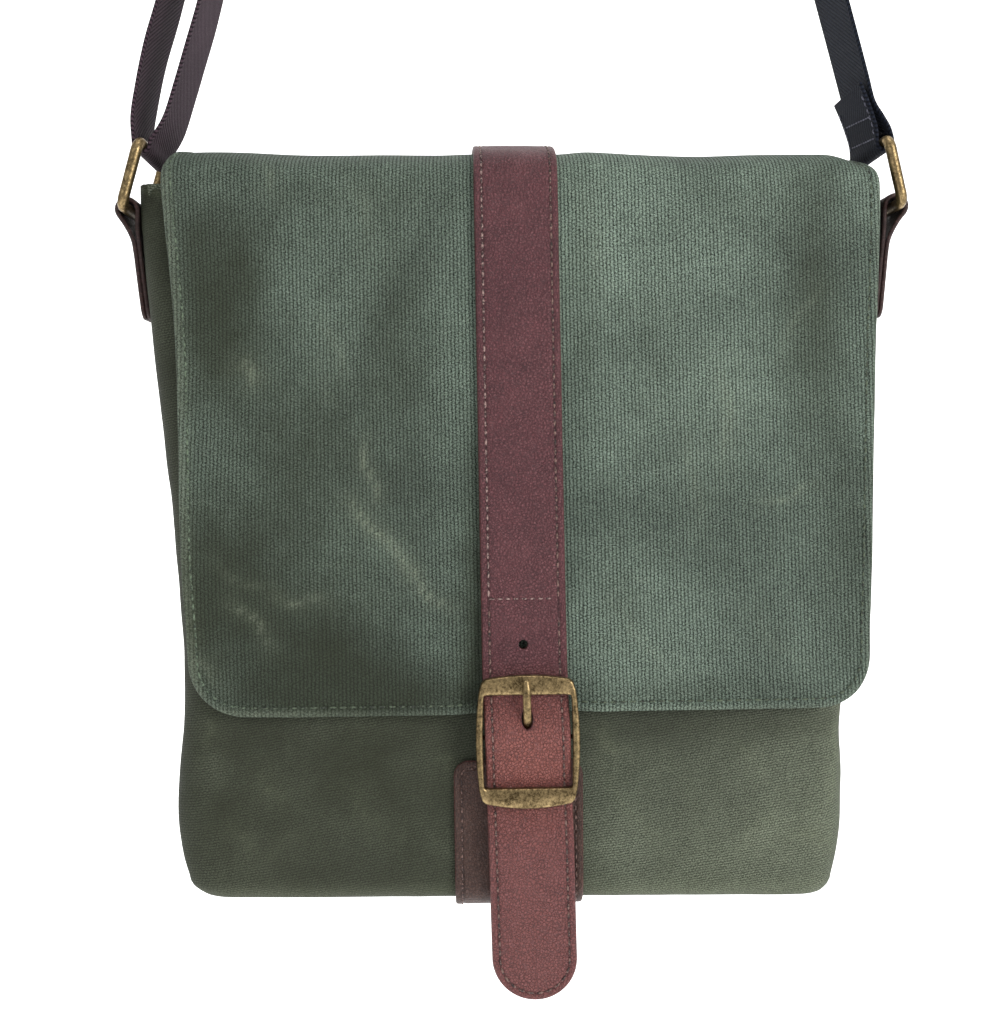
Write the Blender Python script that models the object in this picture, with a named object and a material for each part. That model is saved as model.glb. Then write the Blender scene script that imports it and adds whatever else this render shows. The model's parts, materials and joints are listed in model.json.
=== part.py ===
"""Canvas messenger bag with a leather closure strap, hanging from its shoulder strap.

Axes: +X to the wearer's right-hand side of the bag as it is looked at, +Y to the back, +Z up.
The origin is the underside of the shoulder strap at its highest point, where the bag hangs.
Heights in the functions below are in millimetres from the fold of the flap (0, negative downwards);
they are moved down by the height of the strap arch when the meshes are written.
"""
import math

import bmesh
import bpy
from mathutils import Vector

# ------------------------------------------------------------------ driving dimensions, millimetres
GAP = 0.3                    # between touching pieces
TOP_Z = -13.0                # mouth of the bag
BODY_Z = -320.0              # underside of the walls
HALF_W_TOP = 164.5           # body half width at the mouth
HALF_W_BOT = 143.5           # body half width at the base
CORNER = 12.0                # soft front corner of the gusset
BACK_Y = 32.0                # outer face of the back panel
WALL = 2.5                   # quilted canvas wall
FRONT_Y = -15.0              # outer face of the inner front panel
POCKET_Z = -56.0             # hem of the front pocket
POCKET_Y_TOP = -30.0         # outer face of the front pocket at its hem
POCKET_Y_BOT = -51.6         # outer face of the front pocket at the base
FLAP_X = 3.0                 # centre line of the flap
FLAP_HALF_TOP = 153.0
FLAP_HALF_BOT = 144.0
FLAP_Z = -241.0              # lower edge of the flap
FLAP_R = 22.0                # its corner radius
CANVAS = 1.6
LINING = 0.8
STRAP_HALF = 18.0            # closure strap, 36 mm wide
STRAP_T = 3.2                # two plies of leather
STITCH_Z = -195.0            # the strap is sewn to the flap down to here
TIP_Z = -363.0               # tip of the strap's tail
PATCH_X = -4.5               # centre line of the leather patch
PATCH_HALF = 27.5
PATCH_Z = -262.0
BUCKLE_Z = -251.0            # centre bar of the buckle
BAR_Y = -53.8
BAR_R = 1.4
RING_WIRE = 2.4              # radius of the ring's wire
RING_LOW = (170.2, -25.5)    # centre of the ring's lower bar (x, z), right side
RING_TOP = (164.0, 1.5)      # centre of the ring's upper bar
RING_HALF_Y = 23.2
WEB_HALF = 19.0              # 38 mm webbing
WEB_T = 1.6
TAB_HALF = 15.0
TAB_T = 2.4
SPLIT_Z = 45.0               # where the webbing leaves the part that swings with a ring
LEG_R = (143.1, 74.5, -0.257)    # right leg: x, z, slope dx/dz
LEG_L = (-138.4, 68.0, 0.243)    # left leg (inner ply)
ARCH_Z = 524.0               # the legs turn into the arch here
SLIDER_Z = 230.0             # slider on the left leg
LEAN = math.atan(0.25)
ARCH_R = 27.6 / math.cos(LEAN)
ARCH_CZ = ARCH_Z - ARCH_R * math.sin(LEAN)
FOLD_DROP = ARCH_CZ + ARCH_R - WEB_T / 2.0   # fold of the flap below the origin

# ------------------------------------------------------------------ scene
for ob in list(bpy.data.objects):
    bpy.data.objects.remove(ob, do_unlink=True)


def material(name, rgb, rough, metal=0.0):
    m = bpy.data.materials.new(name)
    m.use_nodes = True
    b = m.node_tree.nodes.get("Principled BSDF")
    b.inputs["Base Color"].default_value = (rgb[0], rgb[1], rgb[2], 1.0)
    b.inputs["Roughness"].default_value = rough
    b.inputs["Metallic"].default_value = metal
    return m


CANVAS_RGB = (0.085, 0.115, 0.082)
BODY_RGB = (0.075, 0.085, 0.052)
LEATHER_RGB = (0.135, 0.065, 0.062)
DARK_LEATHER_RGB = (0.045, 0.028, 0.026)
BRASS_RGB = (0.30, 0.22, 0.12)
WEB_RGB = (0.055, 0.045, 0.055)
LINING_RGB = (0.18, 0.16, 0.13)


def place(p, origin):
    """Millimetres from the fold to metres from the hanging point, relative to an object's origin."""
    return Vector((p[0] * 0.001, p[1] * 0.001, (p[2] - FOLD_DROP) * 0.001)) - origin


def make(name, verts, faces, rgb, rough, metal=0.0, origin=(0.0, 0.0, FOLD_DROP), smooth=False):
    o = Vector((origin[0] * 0.001, origin[1] * 0.001, (origin[2] - FOLD_DROP) * 0.001))
    bm = bmesh.new()
    vs = [bm.verts.new(place(v, o)) for v in verts]
    for f in faces:
        bm.faces.new([vs[i] for i in f])
    bmesh.ops.recalc_face_normals(bm, faces=bm.faces)
    me = bpy.data.meshes.new(name)
    bm.to_mesh(me)
    bm.free()
    ob = bpy.data.objects.new(name, me)
    ob.location = o
    me.materials.append(material(name + "_finish", rgb, rough, metal))
    if smooth:
        me.shade_smooth()
        me.set_sharp_from_angle(angle=math.radians(40))
    bpy.context.scene.collection.objects.link(ob)
    return ob


def skin(sections, closed=False):
    """Join equal rings of points into a body, with end caps unless the rings form a loop."""
    n = len(sections[0])
    verts = [p for s in sections for p in s]
    faces = []
    m = len(sections)
    for i in range(m if closed else m - 1):
        a, b = i * n, ((i + 1) % m) * n
        for j in range(n):
            k = (j + 1) % n
            faces.append((a + j, a + k, b + k, b + j))
    if not closed:
        faces.append(tuple(reversed(range(n))))
        faces.append(tuple(range((m - 1) * n, m * n)))
    return verts, faces


def ribbon(path, thick, half, along="x", centre=0.0):
    """A flat strip that follows path. Path points are (y, z) with its width along X, or (x, z) along Y."""
    secs = []
    for i, (a, z) in enumerate(path):
        a0, z0 = path[max(i - 1, 0)]
        a1, z1 = path[min(i + 1, len(path) - 1)]
        ta, tz = a1 - a0, z1 - z0
        ln = math.hypot(ta, tz)
        na, nz = tz / ln, -ta / ln
        t = (thick[i] if isinstance(thick, (list, tuple)) else thick) / 2.0
        w = half[i] if isinstance(half, (list, tuple)) else half
        if 0 < i < len(path) - 1:      # keep the full thickness round a bend
            ua, uz = a - a0, z - z0
            lu = math.hypot(ua, uz)
            c = abs((uz / lu) * na - (ua / lu) * nz)
            t = t / max(c, 0.8)
        p = (a + na * t, z + nz * t)
        q = (a - na * t, z - nz * t)
        if along == "x":
            secs.append([(centre - w, p[0], p[1]), (centre + w, p[0], p[1]),
                         (centre + w, q[0], q[1]), (centre - w, q[0], q[1])])
        else:
            secs.append([(p[0], centre - w, p[1]), (p[0], centre + w, p[1]),
                         (q[0], centre + w, q[1]), (q[0], centre - w, q[1])])
    return skin(secs)


def lerp(z, z0, v0, z1, v1):
    return v0 + (v1 - v0) * (z - z0) / (z1 - z0)


def half_w(z):
    return lerp(z, TOP_Z, HALF_W_TOP, BODY_Z, HALF_W_BOT)


def pocket_y(z):
    return lerp(z, POCKET_Z, POCKET_Y_TOP, BODY_Z, POCKET_Y_BOT)


def flap_y(z):
    """Centre of the flap's canvas where it hangs in front of the pocket."""
    return pocket_y(z) - 2.6


# ------------------------------------------------------------------ body panels
def slab(name, z0, z1, hx0, hx1, ya0, yb0, ya1, yb1, rgb, rough=0.85, x0=0.0):
    """An upright wall between heights z0 and z1, from y=ya to y=yb."""
    s0 = [(x0 - hx0, ya0, z0), (x0 + hx0, ya0, z0), (x0 + hx0, yb0, z0), (x0 - hx0, yb0, z0)]
    s1 = [(x0 - hx1, ya1, z1), (x0 + hx1, ya1, z1), (x0 + hx1, yb1, z1), (x0 - hx1, yb1, z1)]
    v, f = skin([s0, s1])
    return make(name, v, f, rgb, rough)


slab("front_panel", TOP_Z, BODY_Z + GAP, half_w(TOP_Z) - 13, half_w(BODY_Z) - 13,
     FRONT_Y, FRONT_Y + WALL, FRONT_Y, FRONT_Y + WALL, BODY_RGB)
slab("back_panel", -5.6, BODY_Z + GAP, half_w(TOP_Z), half_w(BODY_Z),
     BACK_Y - WALL, BACK_Y, BACK_Y - WALL, BACK_Y, BODY_RGB)
slab("front_pocket_panel", POCKET_Z - 8.3, BODY_Z + GAP, half_w(POCKET_Z - 8.3) - 12.3, half_w(BODY_Z) - 12.3,
     pocket_y(POCKET_Z - 8.3), pocket_y(POCKET_Z - 8.3) + WALL, pocket_y(BODY_Z), pocket_y(BODY_Z) + WALL, BODY_RGB)
slab("pocket_hem", POCKET_Z, POCKET_Z - 8, half_w(POCKET_Z) - 12.3, half_w(POCKET_Z - 8) - 12.3,
     pocket_y(POCKET_Z) - 0.3, pocket_y(POCKET_Z) + WALL + 0.3,
     pocket_y(POCKET_Z - 8) - 0.3, pocket_y(POCKET_Z - 8) + WALL + 0.3, BODY_RGB)

GUSSET_ROWS = [(TOP_Z, -16.0, -8.0), (POCKET_Z, -29.5, -16.0), (BODY_Z + GAP, POCKET_Y_BOT + 0.6, -37.0)]


def gusset(name, side):
    secs = []
    for z, yc, yb in GUSSET_ROWS:
        w = half_w(z)
        a = BACK_Y - WALL - GAP
        pts = [(w, a), (w, yb), (w - CORNER, yc), (w - CORNER, yc + WALL), (w - WALL, yb + 1.0), (w - WALL, a)]
        secs.append([(side * x, y, z) for x, y in pts])
    v, f = skin(secs)
    return make(name, v, f, BODY_RGB, 0.85)


gusset("left_gusset", -1)
gusset("right_gusset", 1)


def side_lining(name, side):
    secs = []
    for z in (TOP_Z - 3, BODY_Z + 6):
        w = half_w(z) - WALL - GAP
        y0 = -6.0 if z > BODY_Z / 2 else FRONT_Y + WALL + GAP
        y1 = BACK_Y - WALL - 3 * GAP - LINING
        secs.append([(side * x, y, z) for x, y in ((w, y0), (w, y1), (w - LINING, y1), (w - LINING, y0))])
    v, f = skin(secs)
    return make(name, v, f, LINING_RGB, 0.9)


side_lining("lining_left", -1)
side_lining("lining_right", 1)
slab("lining_front", TOP_Z - 3, BODY_Z + 6, half_w(TOP_Z) - 13, half_w(BODY_Z) - 13,
     FRONT_Y + WALL + GAP, FRONT_Y + WALL + GAP + LINING, FRONT_Y + WALL + GAP, FRONT_Y + WALL + GAP + LINING, LINING_RGB)
LB = BACK_Y - WALL - GAP
slab("lining_back", TOP_Z - 3, BODY_Z + 6, half_w(TOP_Z) - 5, half_w(BODY_Z) - 5,
     LB - LINING, LB, LB - LINING, LB, LINING_RGB)
slab("inner_slip_pocket", -90.0, -230.0, 90.0, 90.0, LB - LINING - GAP - 1.4, LB - LINING - GAP,
     LB - LINING - GAP - 1.4, LB - LINING - GAP, LINING_RGB)


def bottom_outline(w, inset):
    return [(w, BACK_Y - inset), (w, -37.0), (w - CORNER, POCKET_Y_BOT + inset),
            (-w + CORNER, POCKET_Y_BOT + inset), (-w, -37.0), (-w, BACK_Y - inset)]


v, f = skin([[(x, y, z) for x, y in bottom_outline(HALF_W_BOT, 0.0)] for z in (BODY_Z, BODY_Z - WALL)])
make("bottom_panel", v, f, BODY_RGB, 0.85)
v, f = skin([[(x, y, z) for x, y in ((136, 27), (136, -11), (-136, -11), (-136, 27))] for z in (BODY_Z + 3.2, BODY_Z + 0.8)])
make("base_board", v, f, (0.02, 0.02, 0.02), 0.6)

# leather patch: up the front, round the bottom edge and a little way under
PB = BODY_Z - WALL - GAP - 1.1
patch_path = [(pocket_y(PATCH_Z) - GAP - 1.1, PATCH_Z)]
patch_path += [(pocket_y(z) - GAP - 1.1, z) for z in (PATCH_Z - 2.5, PATCH_Z - 7.0, BODY_Z)]
patch_path += [(POCKET_Y_BOT - 1.5, PB + 2.4), (POCKET_Y_BOT - 1.2, PB + 0.8), (POCKET_Y_BOT + 0.2, PB - 0.1), (POCKET_Y_BOT + 3.0, PB - 0.1), (POCKET_Y_BOT + 26.0, PB - 0.1)]
patch_half = [PATCH_HALF - 7.0, PATCH_HALF - 2.2] + [PATCH_HALF] * 7
v, f = ribbon(patch_path, 2.2, patch_half, "x", PATCH_X)
make("strap_patch", v, f, DARK_LEATHER_RGB, 0.55)


def disc(name, y0, y1, z, r, rgb, rough, metal, n=20):
    secs = [[(r * math.cos(2 * math.pi * i / n), y, z + r * math.sin(2 * math.pi * i / n)) for i in range(n)]
            for y in (y0, y1)]
    vv, ff = skin(secs)
    return make(name, vv, ff, rgb, rough, metal, smooth=True)


SNAP_Z = -296.0
SOCKET_Y = pocket_y(SNAP_Z - 9) - GAP - 2.2 - GAP
disc("snap_socket", SOCKET_Y, SOCKET_Y - 1.5, SNAP_Z, 9.0, BRASS_RGB, 0.4, 1.0)

# ------------------------------------------------------------------ flap
roof = [(30.75, -5.2), (30.2, -2.4), (27.0, -1.3), (15.0, -1.3), (0.0, -2.4), (-12.0, -5.2), (-20.0, -8.2), (-25.3, -11.0)]
v, f = ribbon(roof, CANVAS, FLAP_HALF_TOP, "x", FLAP_X)
make("flap_top_panel", v, f, CANVAS_RGB, 0.8, origin=(0.0, 32.1, -5.1))

FOLD_AXIS = (-30.8, -11.2)


def flap_half(z):
    h = lerp(z, -15.0, FLAP_HALF_TOP, FLAP_Z, FLAP_HALF_BOT)
    d = (FLAP_Z + FLAP_R) - z
    if d > 0:
        h -= FLAP_R - math.sqrt(max(FLAP_R * FLAP_R - d * d, 0.0))
    return h


def corner_rows(z_end, r, n=6):
    return [z_end + r - r * math.sin(0.5 * math.pi * i / n) for i in range(n + 1)]


front_rows = [-15.2, -20.0, -30.0, -56.0, -120.0, -180.0] + corner_rows(FLAP_Z, FLAP_R)


def hang_y(z, off=0.0):
    """The flap's centre, rounding away from the fold at the top."""
    y = flap_y(z)
    if z > -56.0:
        y = lerp(z, -15.2, -28.4, -56.0, flap_y(-56.0)) - 1.2 * math.sin(math.pi * lerp(z, -15.2, 0.0, -56.0, 1.0))
    return y + off


v, f = ribbon([(hang_y(z), z) for z in front_rows], CANVAS, [flap_half(z) for z in front_rows], "x", FLAP_X)
make("flap_front_panel", v, f, CANVAS_RGB, 0.8, origin=(0.0, FOLD_AXIS[0], FOLD_AXIS[1]))
lining_rows = [-22.0, -30.0, -56.0, -120.0, -180.0] + [z for z in corner_rows(FLAP_Z, FLAP_R) if z > FLAP_Z + 3.0]
v, f = ribbon([(hang_y(z, 1.5), z) for z in lining_rows], LINING, [flap_half(z) - 4.0 for z in lining_rows], "x", FLAP_X)
make("flap_lining", v, f, LINING_RGB, 0.9, origin=(0.0, FOLD_AXIS[0], FOLD_AXIS[1]))

# ------------------------------------------------------------------ closure strap
OUT = CANVAS / 2.0 + GAP + STRAP_T / 2.0


def offset_path(path, d):
    out = []
    for i, (a, z) in enumerate(path):
        a0, z0 = path[max(i - 1, 0)]
        a1, z1 = path[min(i + 1, len(path) - 1)]
        ta, tz = a1 - a0, z1 - z0
        ln = math.hypot(ta, tz)
        out.append((a - tz / ln * d, z + ta / ln * d))
    return out


over_top = offset_path(roof[2:], -OUT)
v, f = ribbon(over_top, STRAP_T, STRAP_HALF, "x", 0.0)
make("closure_strap_over_top", v, f, LEATHER_RGB, 0.5, origin=(0.0, 32.1, -5.1))
upper_rows = [-17.5, -22.0, -30.0, -56.0, -120.0, STITCH_Z + 0.5]
v, f = ribbon([(hang_y(z, -OUT), z) for z in upper_rows], STRAP_T, STRAP_HALF, "x", 0.0)
make("closure_strap_upper", v, f, LEATHER_RGB, 0.5, origin=(0.0, FOLD_AXIS[0], FOLD_AXIS[1]))

TAIL_AXIS = (hang_y(STITCH_Z, -OUT) - STRAP_T / 2.0 - 0.3, STITCH_Z)
tail = [(hang_y(STITCH_Z, -OUT) - 0.1, STITCH_Z - 0.5), (-48.0, -205.0), (-49.9, -218.0), (-51.6, -229.0),
        (-54.3, -239.0), (-56.9, -246.0), (-57.6, -251.0), (-57.3, -256.0), (-56.2, -265.0), (-55.2, -274.0),
        (-57.2, -283.0), (-58.3, -290.0), (-58.3, -300.0), (-57.7, -308.0), (-56.9, -320.0), (-56.0, -341.0)]
tip_rows = corner_rows(TIP_Z, STRAP_HALF, 8)
tail += [(-55.4, z) for z in tip_rows]
tail_half = [STRAP_HALF] * 16 + [max(math.sqrt(max(STRAP_HALF ** 2 - max((TIP_Z + STRAP_HALF) - z, 0) ** 2, 0)), 2.0)
                                 for z in tip_rows]
v, f = ribbon(tail, STRAP_T, tail_half, "x", 0.0)
tail_ob = make("closure_strap_tail", v, f, LEATHER_RGB, 0.5, origin=(0.0, TAIL_AXIS[0], TAIL_AXIS[1]))


def cutter(name, verts, faces, target):
    ob = make(name, verts, faces, (0.5, 0.5, 0.5), 0.5)
    ob.hide_render = True
    ob.display_type = "WIRE"
    md = target.modifiers.new(name, "BOOLEAN")
    md.operation = "DIFFERENCE"
    md.solver = "EXACT"
    md.object = ob
    return ob


v, f = skin([[(x, y, z) for x, y in ((-2.9, -70.0), (2.9, -70.0), (2.9, -45.0), (-2.9, -45.0))] for z in (-238.7, -255.2)])
cutter("slot_cutter", v, f, tail_ob)
v, f = skin([[(2.0 * math.cos(2 * math.pi * i / 12), y, -212.3 + 2.0 * math.sin(2 * math.pi * i / 12)) for i in range(12)]
             for y in (-60.0, -40.0)])
cutter("hole_cutter", v, f, tail_ob)
disc("snap_stud", SOCKET_Y - 1.5 - 0.4, -58.3 + STRAP_T / 2.0 + 0.75, SNAP_Z, 8.5, BRASS_RGB, 0.4, 1.0)

# ------------------------------------------------------------------ buckle
FRAME_T = 3.0


def frame_y(z):
    return lerp(z, -228.5, -55.9, -275.0, -59.7)


def side_x(z, bow):
    """Side bars bow outwards between the two end bars."""
    t = lerp(z, -228.0, 0.0, -276.0, 1.0)
    return bow * math.sin(math.pi * min(max(t, 0.0), 1.0))


outer, inner = [], []
N = 7
for i in range(N + 1):               # top edge, left to right
    t = i / N
    x = -19.5 + 39.0 * t
    outer.append((x, -226.3 + 1.8 * math.sin(math.pi * t)))
    inner.append((-18.7 + 37.4 * t, -232.6))
for i in range(1, N + 1):            # right side, downwards
    t = i / (N + 1)
    z = -232.0 - 39.0 * t
    outer.append((20.3 + side_x(z, 2.0), z))
    inner.append((18.9 + side_x(z, 0.4), -232.6 - 38.6 * t))
for i in range(N + 1):               # bottom edge, right to left
    t = i / N
    outer.append((19.9 - 39.8 * t, -277.2 - 2.5 * math.sin(math.pi * t)))
    inner.append((18.7 - 37.4 * t, -271.2))
for i in range(1, N + 1):            # left side, upwards
    t = i / (N + 1)
    z = -271.0 + 39.0 * t
    outer.append((-20.3 - side_x(z, 2.0), z))
    inner.append((-18.9 - side_x(z, 0.4), -271.2 + 38.6 * t))
n = len(outer)
verts = []
for loop, off in ((outer, -FRAME_T / 2), (outer, FRAME_T / 2), (inner, FRAME_T / 2), (inner, -FRAME_T / 2)):
    verts += [(x, frame_y(z) + off, z) for x, z in loop]
faces = []
for k in range(4):
    a, b = k * n, ((k + 1) % 4) * n
    for j in range(n):
        faces.append((a + j, a + (j + 1) % n, b + (j + 1) % n, b + j))
frame_ob = make("buckle_frame", verts, faces, BRASS_RGB, 0.4, 1.0, origin=(0.0, TAIL_AXIS[0], TAIL_AXIS[1]))
v, f = skin([[(x, BAR_Y + BAR_R * math.cos(2 * math.pi * i / 12), BUCKLE_Z + BAR_R * math.sin(2 * math.pi * i / 12))
              for i in range(12)] for x in (-21.2, 21.2)])
make("buckle_center_bar", v, f, BRASS_RGB, 0.4, 1.0, smooth=True)

EYE = 2.4
prong = []
for i in range(13):                  # the eye goes back, under and up the front of the bar
    a = math.radians(15 - (15 + 270) * i / 12)
    prong.append((BAR_Y - EYE * math.sin(a), BUCKLE_Z + EYE * math.cos(a)))
prong_t = [1.1] * 13
prong += [(-57.0, -248.0), (-58.6, -245.0), (-59.9, -241.0), (-60.1, -236.0), (-59.7, -231.0), (-59.2, -228.0), (-59.1, -225.5)]
prong_t += [1.5, 2.0, 2.4, 2.5, 2.5, 2.4, 1.8]
prong_h = [2.0] * 13 + [2.0, 2.0, 2.0, 2.0, 2.0, 1.9, 1.4]
v, f = ribbon(prong, prong_t, prong_h, "x", 0.0)
make("buckle_prong", v, f, BRASS_RGB, 0.4, 1.0, origin=(0.0, BAR_Y, BUCKLE_Z))


# ------------------------------------------------------------------ rings and side tabs
def ring(name, side):
    lo, hi = RING_LOW, RING_TOP
    ux, uz = hi[0] - lo[0], hi[1] - lo[1]
    h = math.hypot(ux, uz)
    ux, uz = ux / h, uz / h
    r = 4.2
    path = []
    for cy, ch, a0 in ((RING_HALF_Y - r, h - r, 0), (-RING_HALF_Y + r, h - r, 90), (-RING_HALF_Y + r, r, 180), (RING_HALF_Y - r, r, 270)):
        for i in range(5):
            a = math.radians(a0 + 90 * i / 4)
            path.append((cy + r * math.cos(a), ch + r * math.sin(a)))
    secs = []
    m = len(path)
    for i, (y, d) in enumerate(path):
        y0, d0 = path[i - 1]
        y1, d1 = path[(i + 1) % m]
        ty, td = y1 - y0, d1 - d0
        ln = math.hypot(ty, td)
        ny, nd = td / ln, -ty / ln
        sec = []
        for j in range(10):
            b = 2 * math.pi * j / 10
            c, s = RING_WIRE * math.cos(b), RING_WIRE * math.sin(b)
            yy, dd = y + ny * c, d + nd * c
            sec.append((side * (lo[0] + ux * dd + uz * s), yy, lo[1] + uz * dd - ux * s))
        secs.append(sec)
    v2, f2 = skin(secs, closed=True)
    return make(name, v2, f2, BRASS_RGB, 0.35, 1.0, origin=(side * lo[0], 0.0, lo[1]), smooth=True)


ring("left_ring", -1)
ring("right_ring", 1)


def tab(name, side):
    cx, cz = RING_LOW
    ply = TAB_T / 2.0

    def ix(z):
        return half_w(z) + GAP + ply

    path = [(ix(-72.0), -72.0), (ix(-50.0), -50.0), (ix(-33.0) + 0.1, -33.0)]
    rr = RING_WIRE + 0.55 + ply
    for i in range(9):
        a = math.radians(180 - 205 * i / 8)
        path.append((cx + rr * math.cos(a), cz + rr * math.sin(a)))
    path += [(171.0, -32.5), (ix(-38.0) + TAB_T + 0.45, -38.0), (ix(-50.0) + TAB_T + 0.3, -50.0), (ix(-72.0) + TAB_T + 0.3, -72.0)]
    half = [TAB_HALF - 4, TAB_HALF] + [TAB_HALF] * (len(path) - 4) + [TAB_HALF, TAB_HALF - 4]
    v2, f2 = ribbon([(side * x, z) for x, z in path], TAB_T, half, "y", 0.0)
    return make(name, v2, f2, DARK_LEATHER_RGB, 0.5)


tab("left_side_tab", -1)
tab("right_side_tab", 1)

# ------------------------------------------------------------------ shoulder webbing
BAR_LOOP = RING_WIRE + 0.3 + WEB_T / 2.0


def leg_x(leg, z):
    return leg[0] + leg[2] * (z - leg[1])


def loop_arc(side, a0, a1, n=7):
    cx, cz = RING_TOP
    return [(side * (cx + BAR_LOOP * math.cos(math.radians(a0 + (a1 - a0) * i / n))),
             cz + BAR_LOOP * math.sin(math.radians(a0 + (a1 - a0) * i / n))) for i in range(n + 1)]


right_path = [(leg_x(LEG_R, SPLIT_Z), SPLIT_Z), (155.6, 30.0), (158.8, 22.0), (162.5, 14.0), (165.6, 7.5)]
right_path += loop_arc(1, 10, -190) + [(160.2, 8.0), (158.9, 14.0), (156.3, 22.0), (153.0, 30.5)]
v, f = ribbon(right_path, WEB_T, WEB_HALF, "y", 0.0)
make("right_webbing_loop", v, f, WEB_RGB, 0.8, origin=(RING_LOW[0], 0.0, RING_LOW[1]))

left_path = [(-160.4, SPLIT_Z), (-164.6, 27.0), (-167.5, 12.0)] + loop_arc(-1, 15, -200)
left_path += [(-157.9, 7.5), (-154.2, 13.5), (-150.8, 20.0), (leg_x(LEG_L, 29.0), 29.0), (leg_x(LEG_L, SPLIT_Z), SPLIT_Z)]
v, f = ribbon(left_path, WEB_T, WEB_HALF, "y", 0.0)
make("left_webbing_loop", v, f, WEB_RGB, 0.8, origin=(-RING_LOW[0], 0.0, RING_LOW[1]))

for name, leg in (("strap_right_leg", LEG_R), ("strap_left_leg", LEG_L)):
    v, f = ribbon([(leg_x(leg, z), z) for z in (SPLIT_Z + 1.5, ARCH_Z)], WEB_T, WEB_HALF, "y", 0.0)
    make(name, v, f, WEB_RGB, 0.8)
arch = []
for i in range(17):
    a = LEAN + 0.02 + (math.pi - 2 * LEAN - 0.04) * i / 16
    arch.append((ARCH_R * math.cos(a), ARCH_CZ + ARCH_R * math.sin(a)))
v, f = ribbon(arch, WEB_T, WEB_HALF, "y", 0.0)
make("strap_shoulder_arch", v, f, WEB_RGB, 0.8)

# slider on the left leg: a frame on the strap's inner face and a bar over its outer face
SL = math.atan(LEG_L[2])
U = (math.sin(SL), math.cos(SL))
NRM = (-math.cos(SL), math.sin(SL))
SP = (leg_x(LEG_L, SLIDER_Z), SLIDER_Z)


def on_slider(u, nn, y):
    return (SP[0] + U[0] * u + NRM[0] * nn, y, SP[1] + U[1] * u + NRM[1] * nn)


rect_o = [(-24, -13), (24, -13), (24, 13), (-24, 13)]
rect_i = [(-19.8, -8), (19.8, -8), (19.8, 8), (-19.8, 8)]
verts = []
for loop, off in ((rect_o, -3.6), (rect_o, -1.2), (rect_i, -1.2), (rect_i, -3.6)):
    verts += [on_slider(u, off, y) for y, u in loop]
faces = []
for k in range(4):
    a, b = k * 4, ((k + 1) % 4) * 4
    for j in range(4):
        faces.append((a + j, a + (j + 1) % 4, b + (j + 1) % 4, b + j))
make("slider_frame", verts, faces, BRASS_RGB, 0.35, 1.0)
secs = []
for u in (-2.5, 2.5):
    secs.append([on_slider(u, nn, y) for y, nn in ((-24, -0.9), (-24, 3.6), (24, 3.6), (24, -0.9), (19.8, -0.9), (19.8, 1.2), (-19.8, 1.2), (-19.8, -0.9))])
v, f = skin(secs)
make("slider_bar", v, f, BRASS_RGB, 0.35, 1.0)

end_p = on_slider(-3.6, 2.4, 0)
ret = [(-160.0, SPLIT_Z + 1.5), (-154.5, 68.0), (-143.6, 105.0), (-131.2, 145.0), (-119.5, 180.0),
       (on_slider(-24, 4.6, 0)[0], on_slider(-24, 4.6, 0)[2]), (on_slider(-10, 2.8, 0)[0], on_slider(-10, 2.8, 0)[2]), (end_p[0], end_p[2])]
v, f = ribbon(ret, WEB_T, WEB_HALF, "y", 0.0)
make("strap_return_ply", v, f, WEB_RGB, 0.8)
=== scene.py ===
import bpy
import math
import json
import numpy as np
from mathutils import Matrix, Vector, noise

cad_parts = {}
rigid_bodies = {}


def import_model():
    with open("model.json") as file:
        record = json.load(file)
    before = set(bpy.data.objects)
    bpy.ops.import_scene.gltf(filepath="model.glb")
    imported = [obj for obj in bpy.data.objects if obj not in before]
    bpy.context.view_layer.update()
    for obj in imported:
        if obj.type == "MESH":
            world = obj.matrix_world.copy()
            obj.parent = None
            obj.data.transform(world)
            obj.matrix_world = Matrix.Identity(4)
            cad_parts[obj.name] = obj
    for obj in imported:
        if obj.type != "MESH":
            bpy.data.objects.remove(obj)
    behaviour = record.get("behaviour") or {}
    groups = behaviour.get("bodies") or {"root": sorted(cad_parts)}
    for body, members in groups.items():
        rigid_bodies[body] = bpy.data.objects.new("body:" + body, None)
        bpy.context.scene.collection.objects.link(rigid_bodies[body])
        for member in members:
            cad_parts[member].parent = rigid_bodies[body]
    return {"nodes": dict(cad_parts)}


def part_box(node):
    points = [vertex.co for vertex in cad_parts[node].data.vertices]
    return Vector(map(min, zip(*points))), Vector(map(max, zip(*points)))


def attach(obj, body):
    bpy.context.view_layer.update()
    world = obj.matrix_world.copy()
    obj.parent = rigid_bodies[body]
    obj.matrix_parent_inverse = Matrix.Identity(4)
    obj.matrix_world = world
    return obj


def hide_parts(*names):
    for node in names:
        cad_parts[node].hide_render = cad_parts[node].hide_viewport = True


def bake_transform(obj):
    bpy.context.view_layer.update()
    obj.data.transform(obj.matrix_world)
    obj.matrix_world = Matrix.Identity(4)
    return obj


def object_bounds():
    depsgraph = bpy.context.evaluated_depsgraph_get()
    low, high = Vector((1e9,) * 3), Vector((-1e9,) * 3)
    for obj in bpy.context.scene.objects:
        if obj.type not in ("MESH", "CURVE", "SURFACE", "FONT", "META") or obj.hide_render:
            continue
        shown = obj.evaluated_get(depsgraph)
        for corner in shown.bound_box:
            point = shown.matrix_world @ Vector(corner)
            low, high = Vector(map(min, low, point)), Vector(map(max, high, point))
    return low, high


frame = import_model()
cad_lo, cad_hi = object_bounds()
# heights below are millimetres from the flap's fold, which lies this far under the hanging point
FD = -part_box("bottom_panel")[0].z * 1000.0 - 322.5


def srgb(r, g, b):
    def f(c):
        c = c / 255.0
        return c / 12.92 if c <= 0.04045 else ((c + 0.055) / 1.055) ** 2.4
    return (f(r), f(g), f(b))


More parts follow.
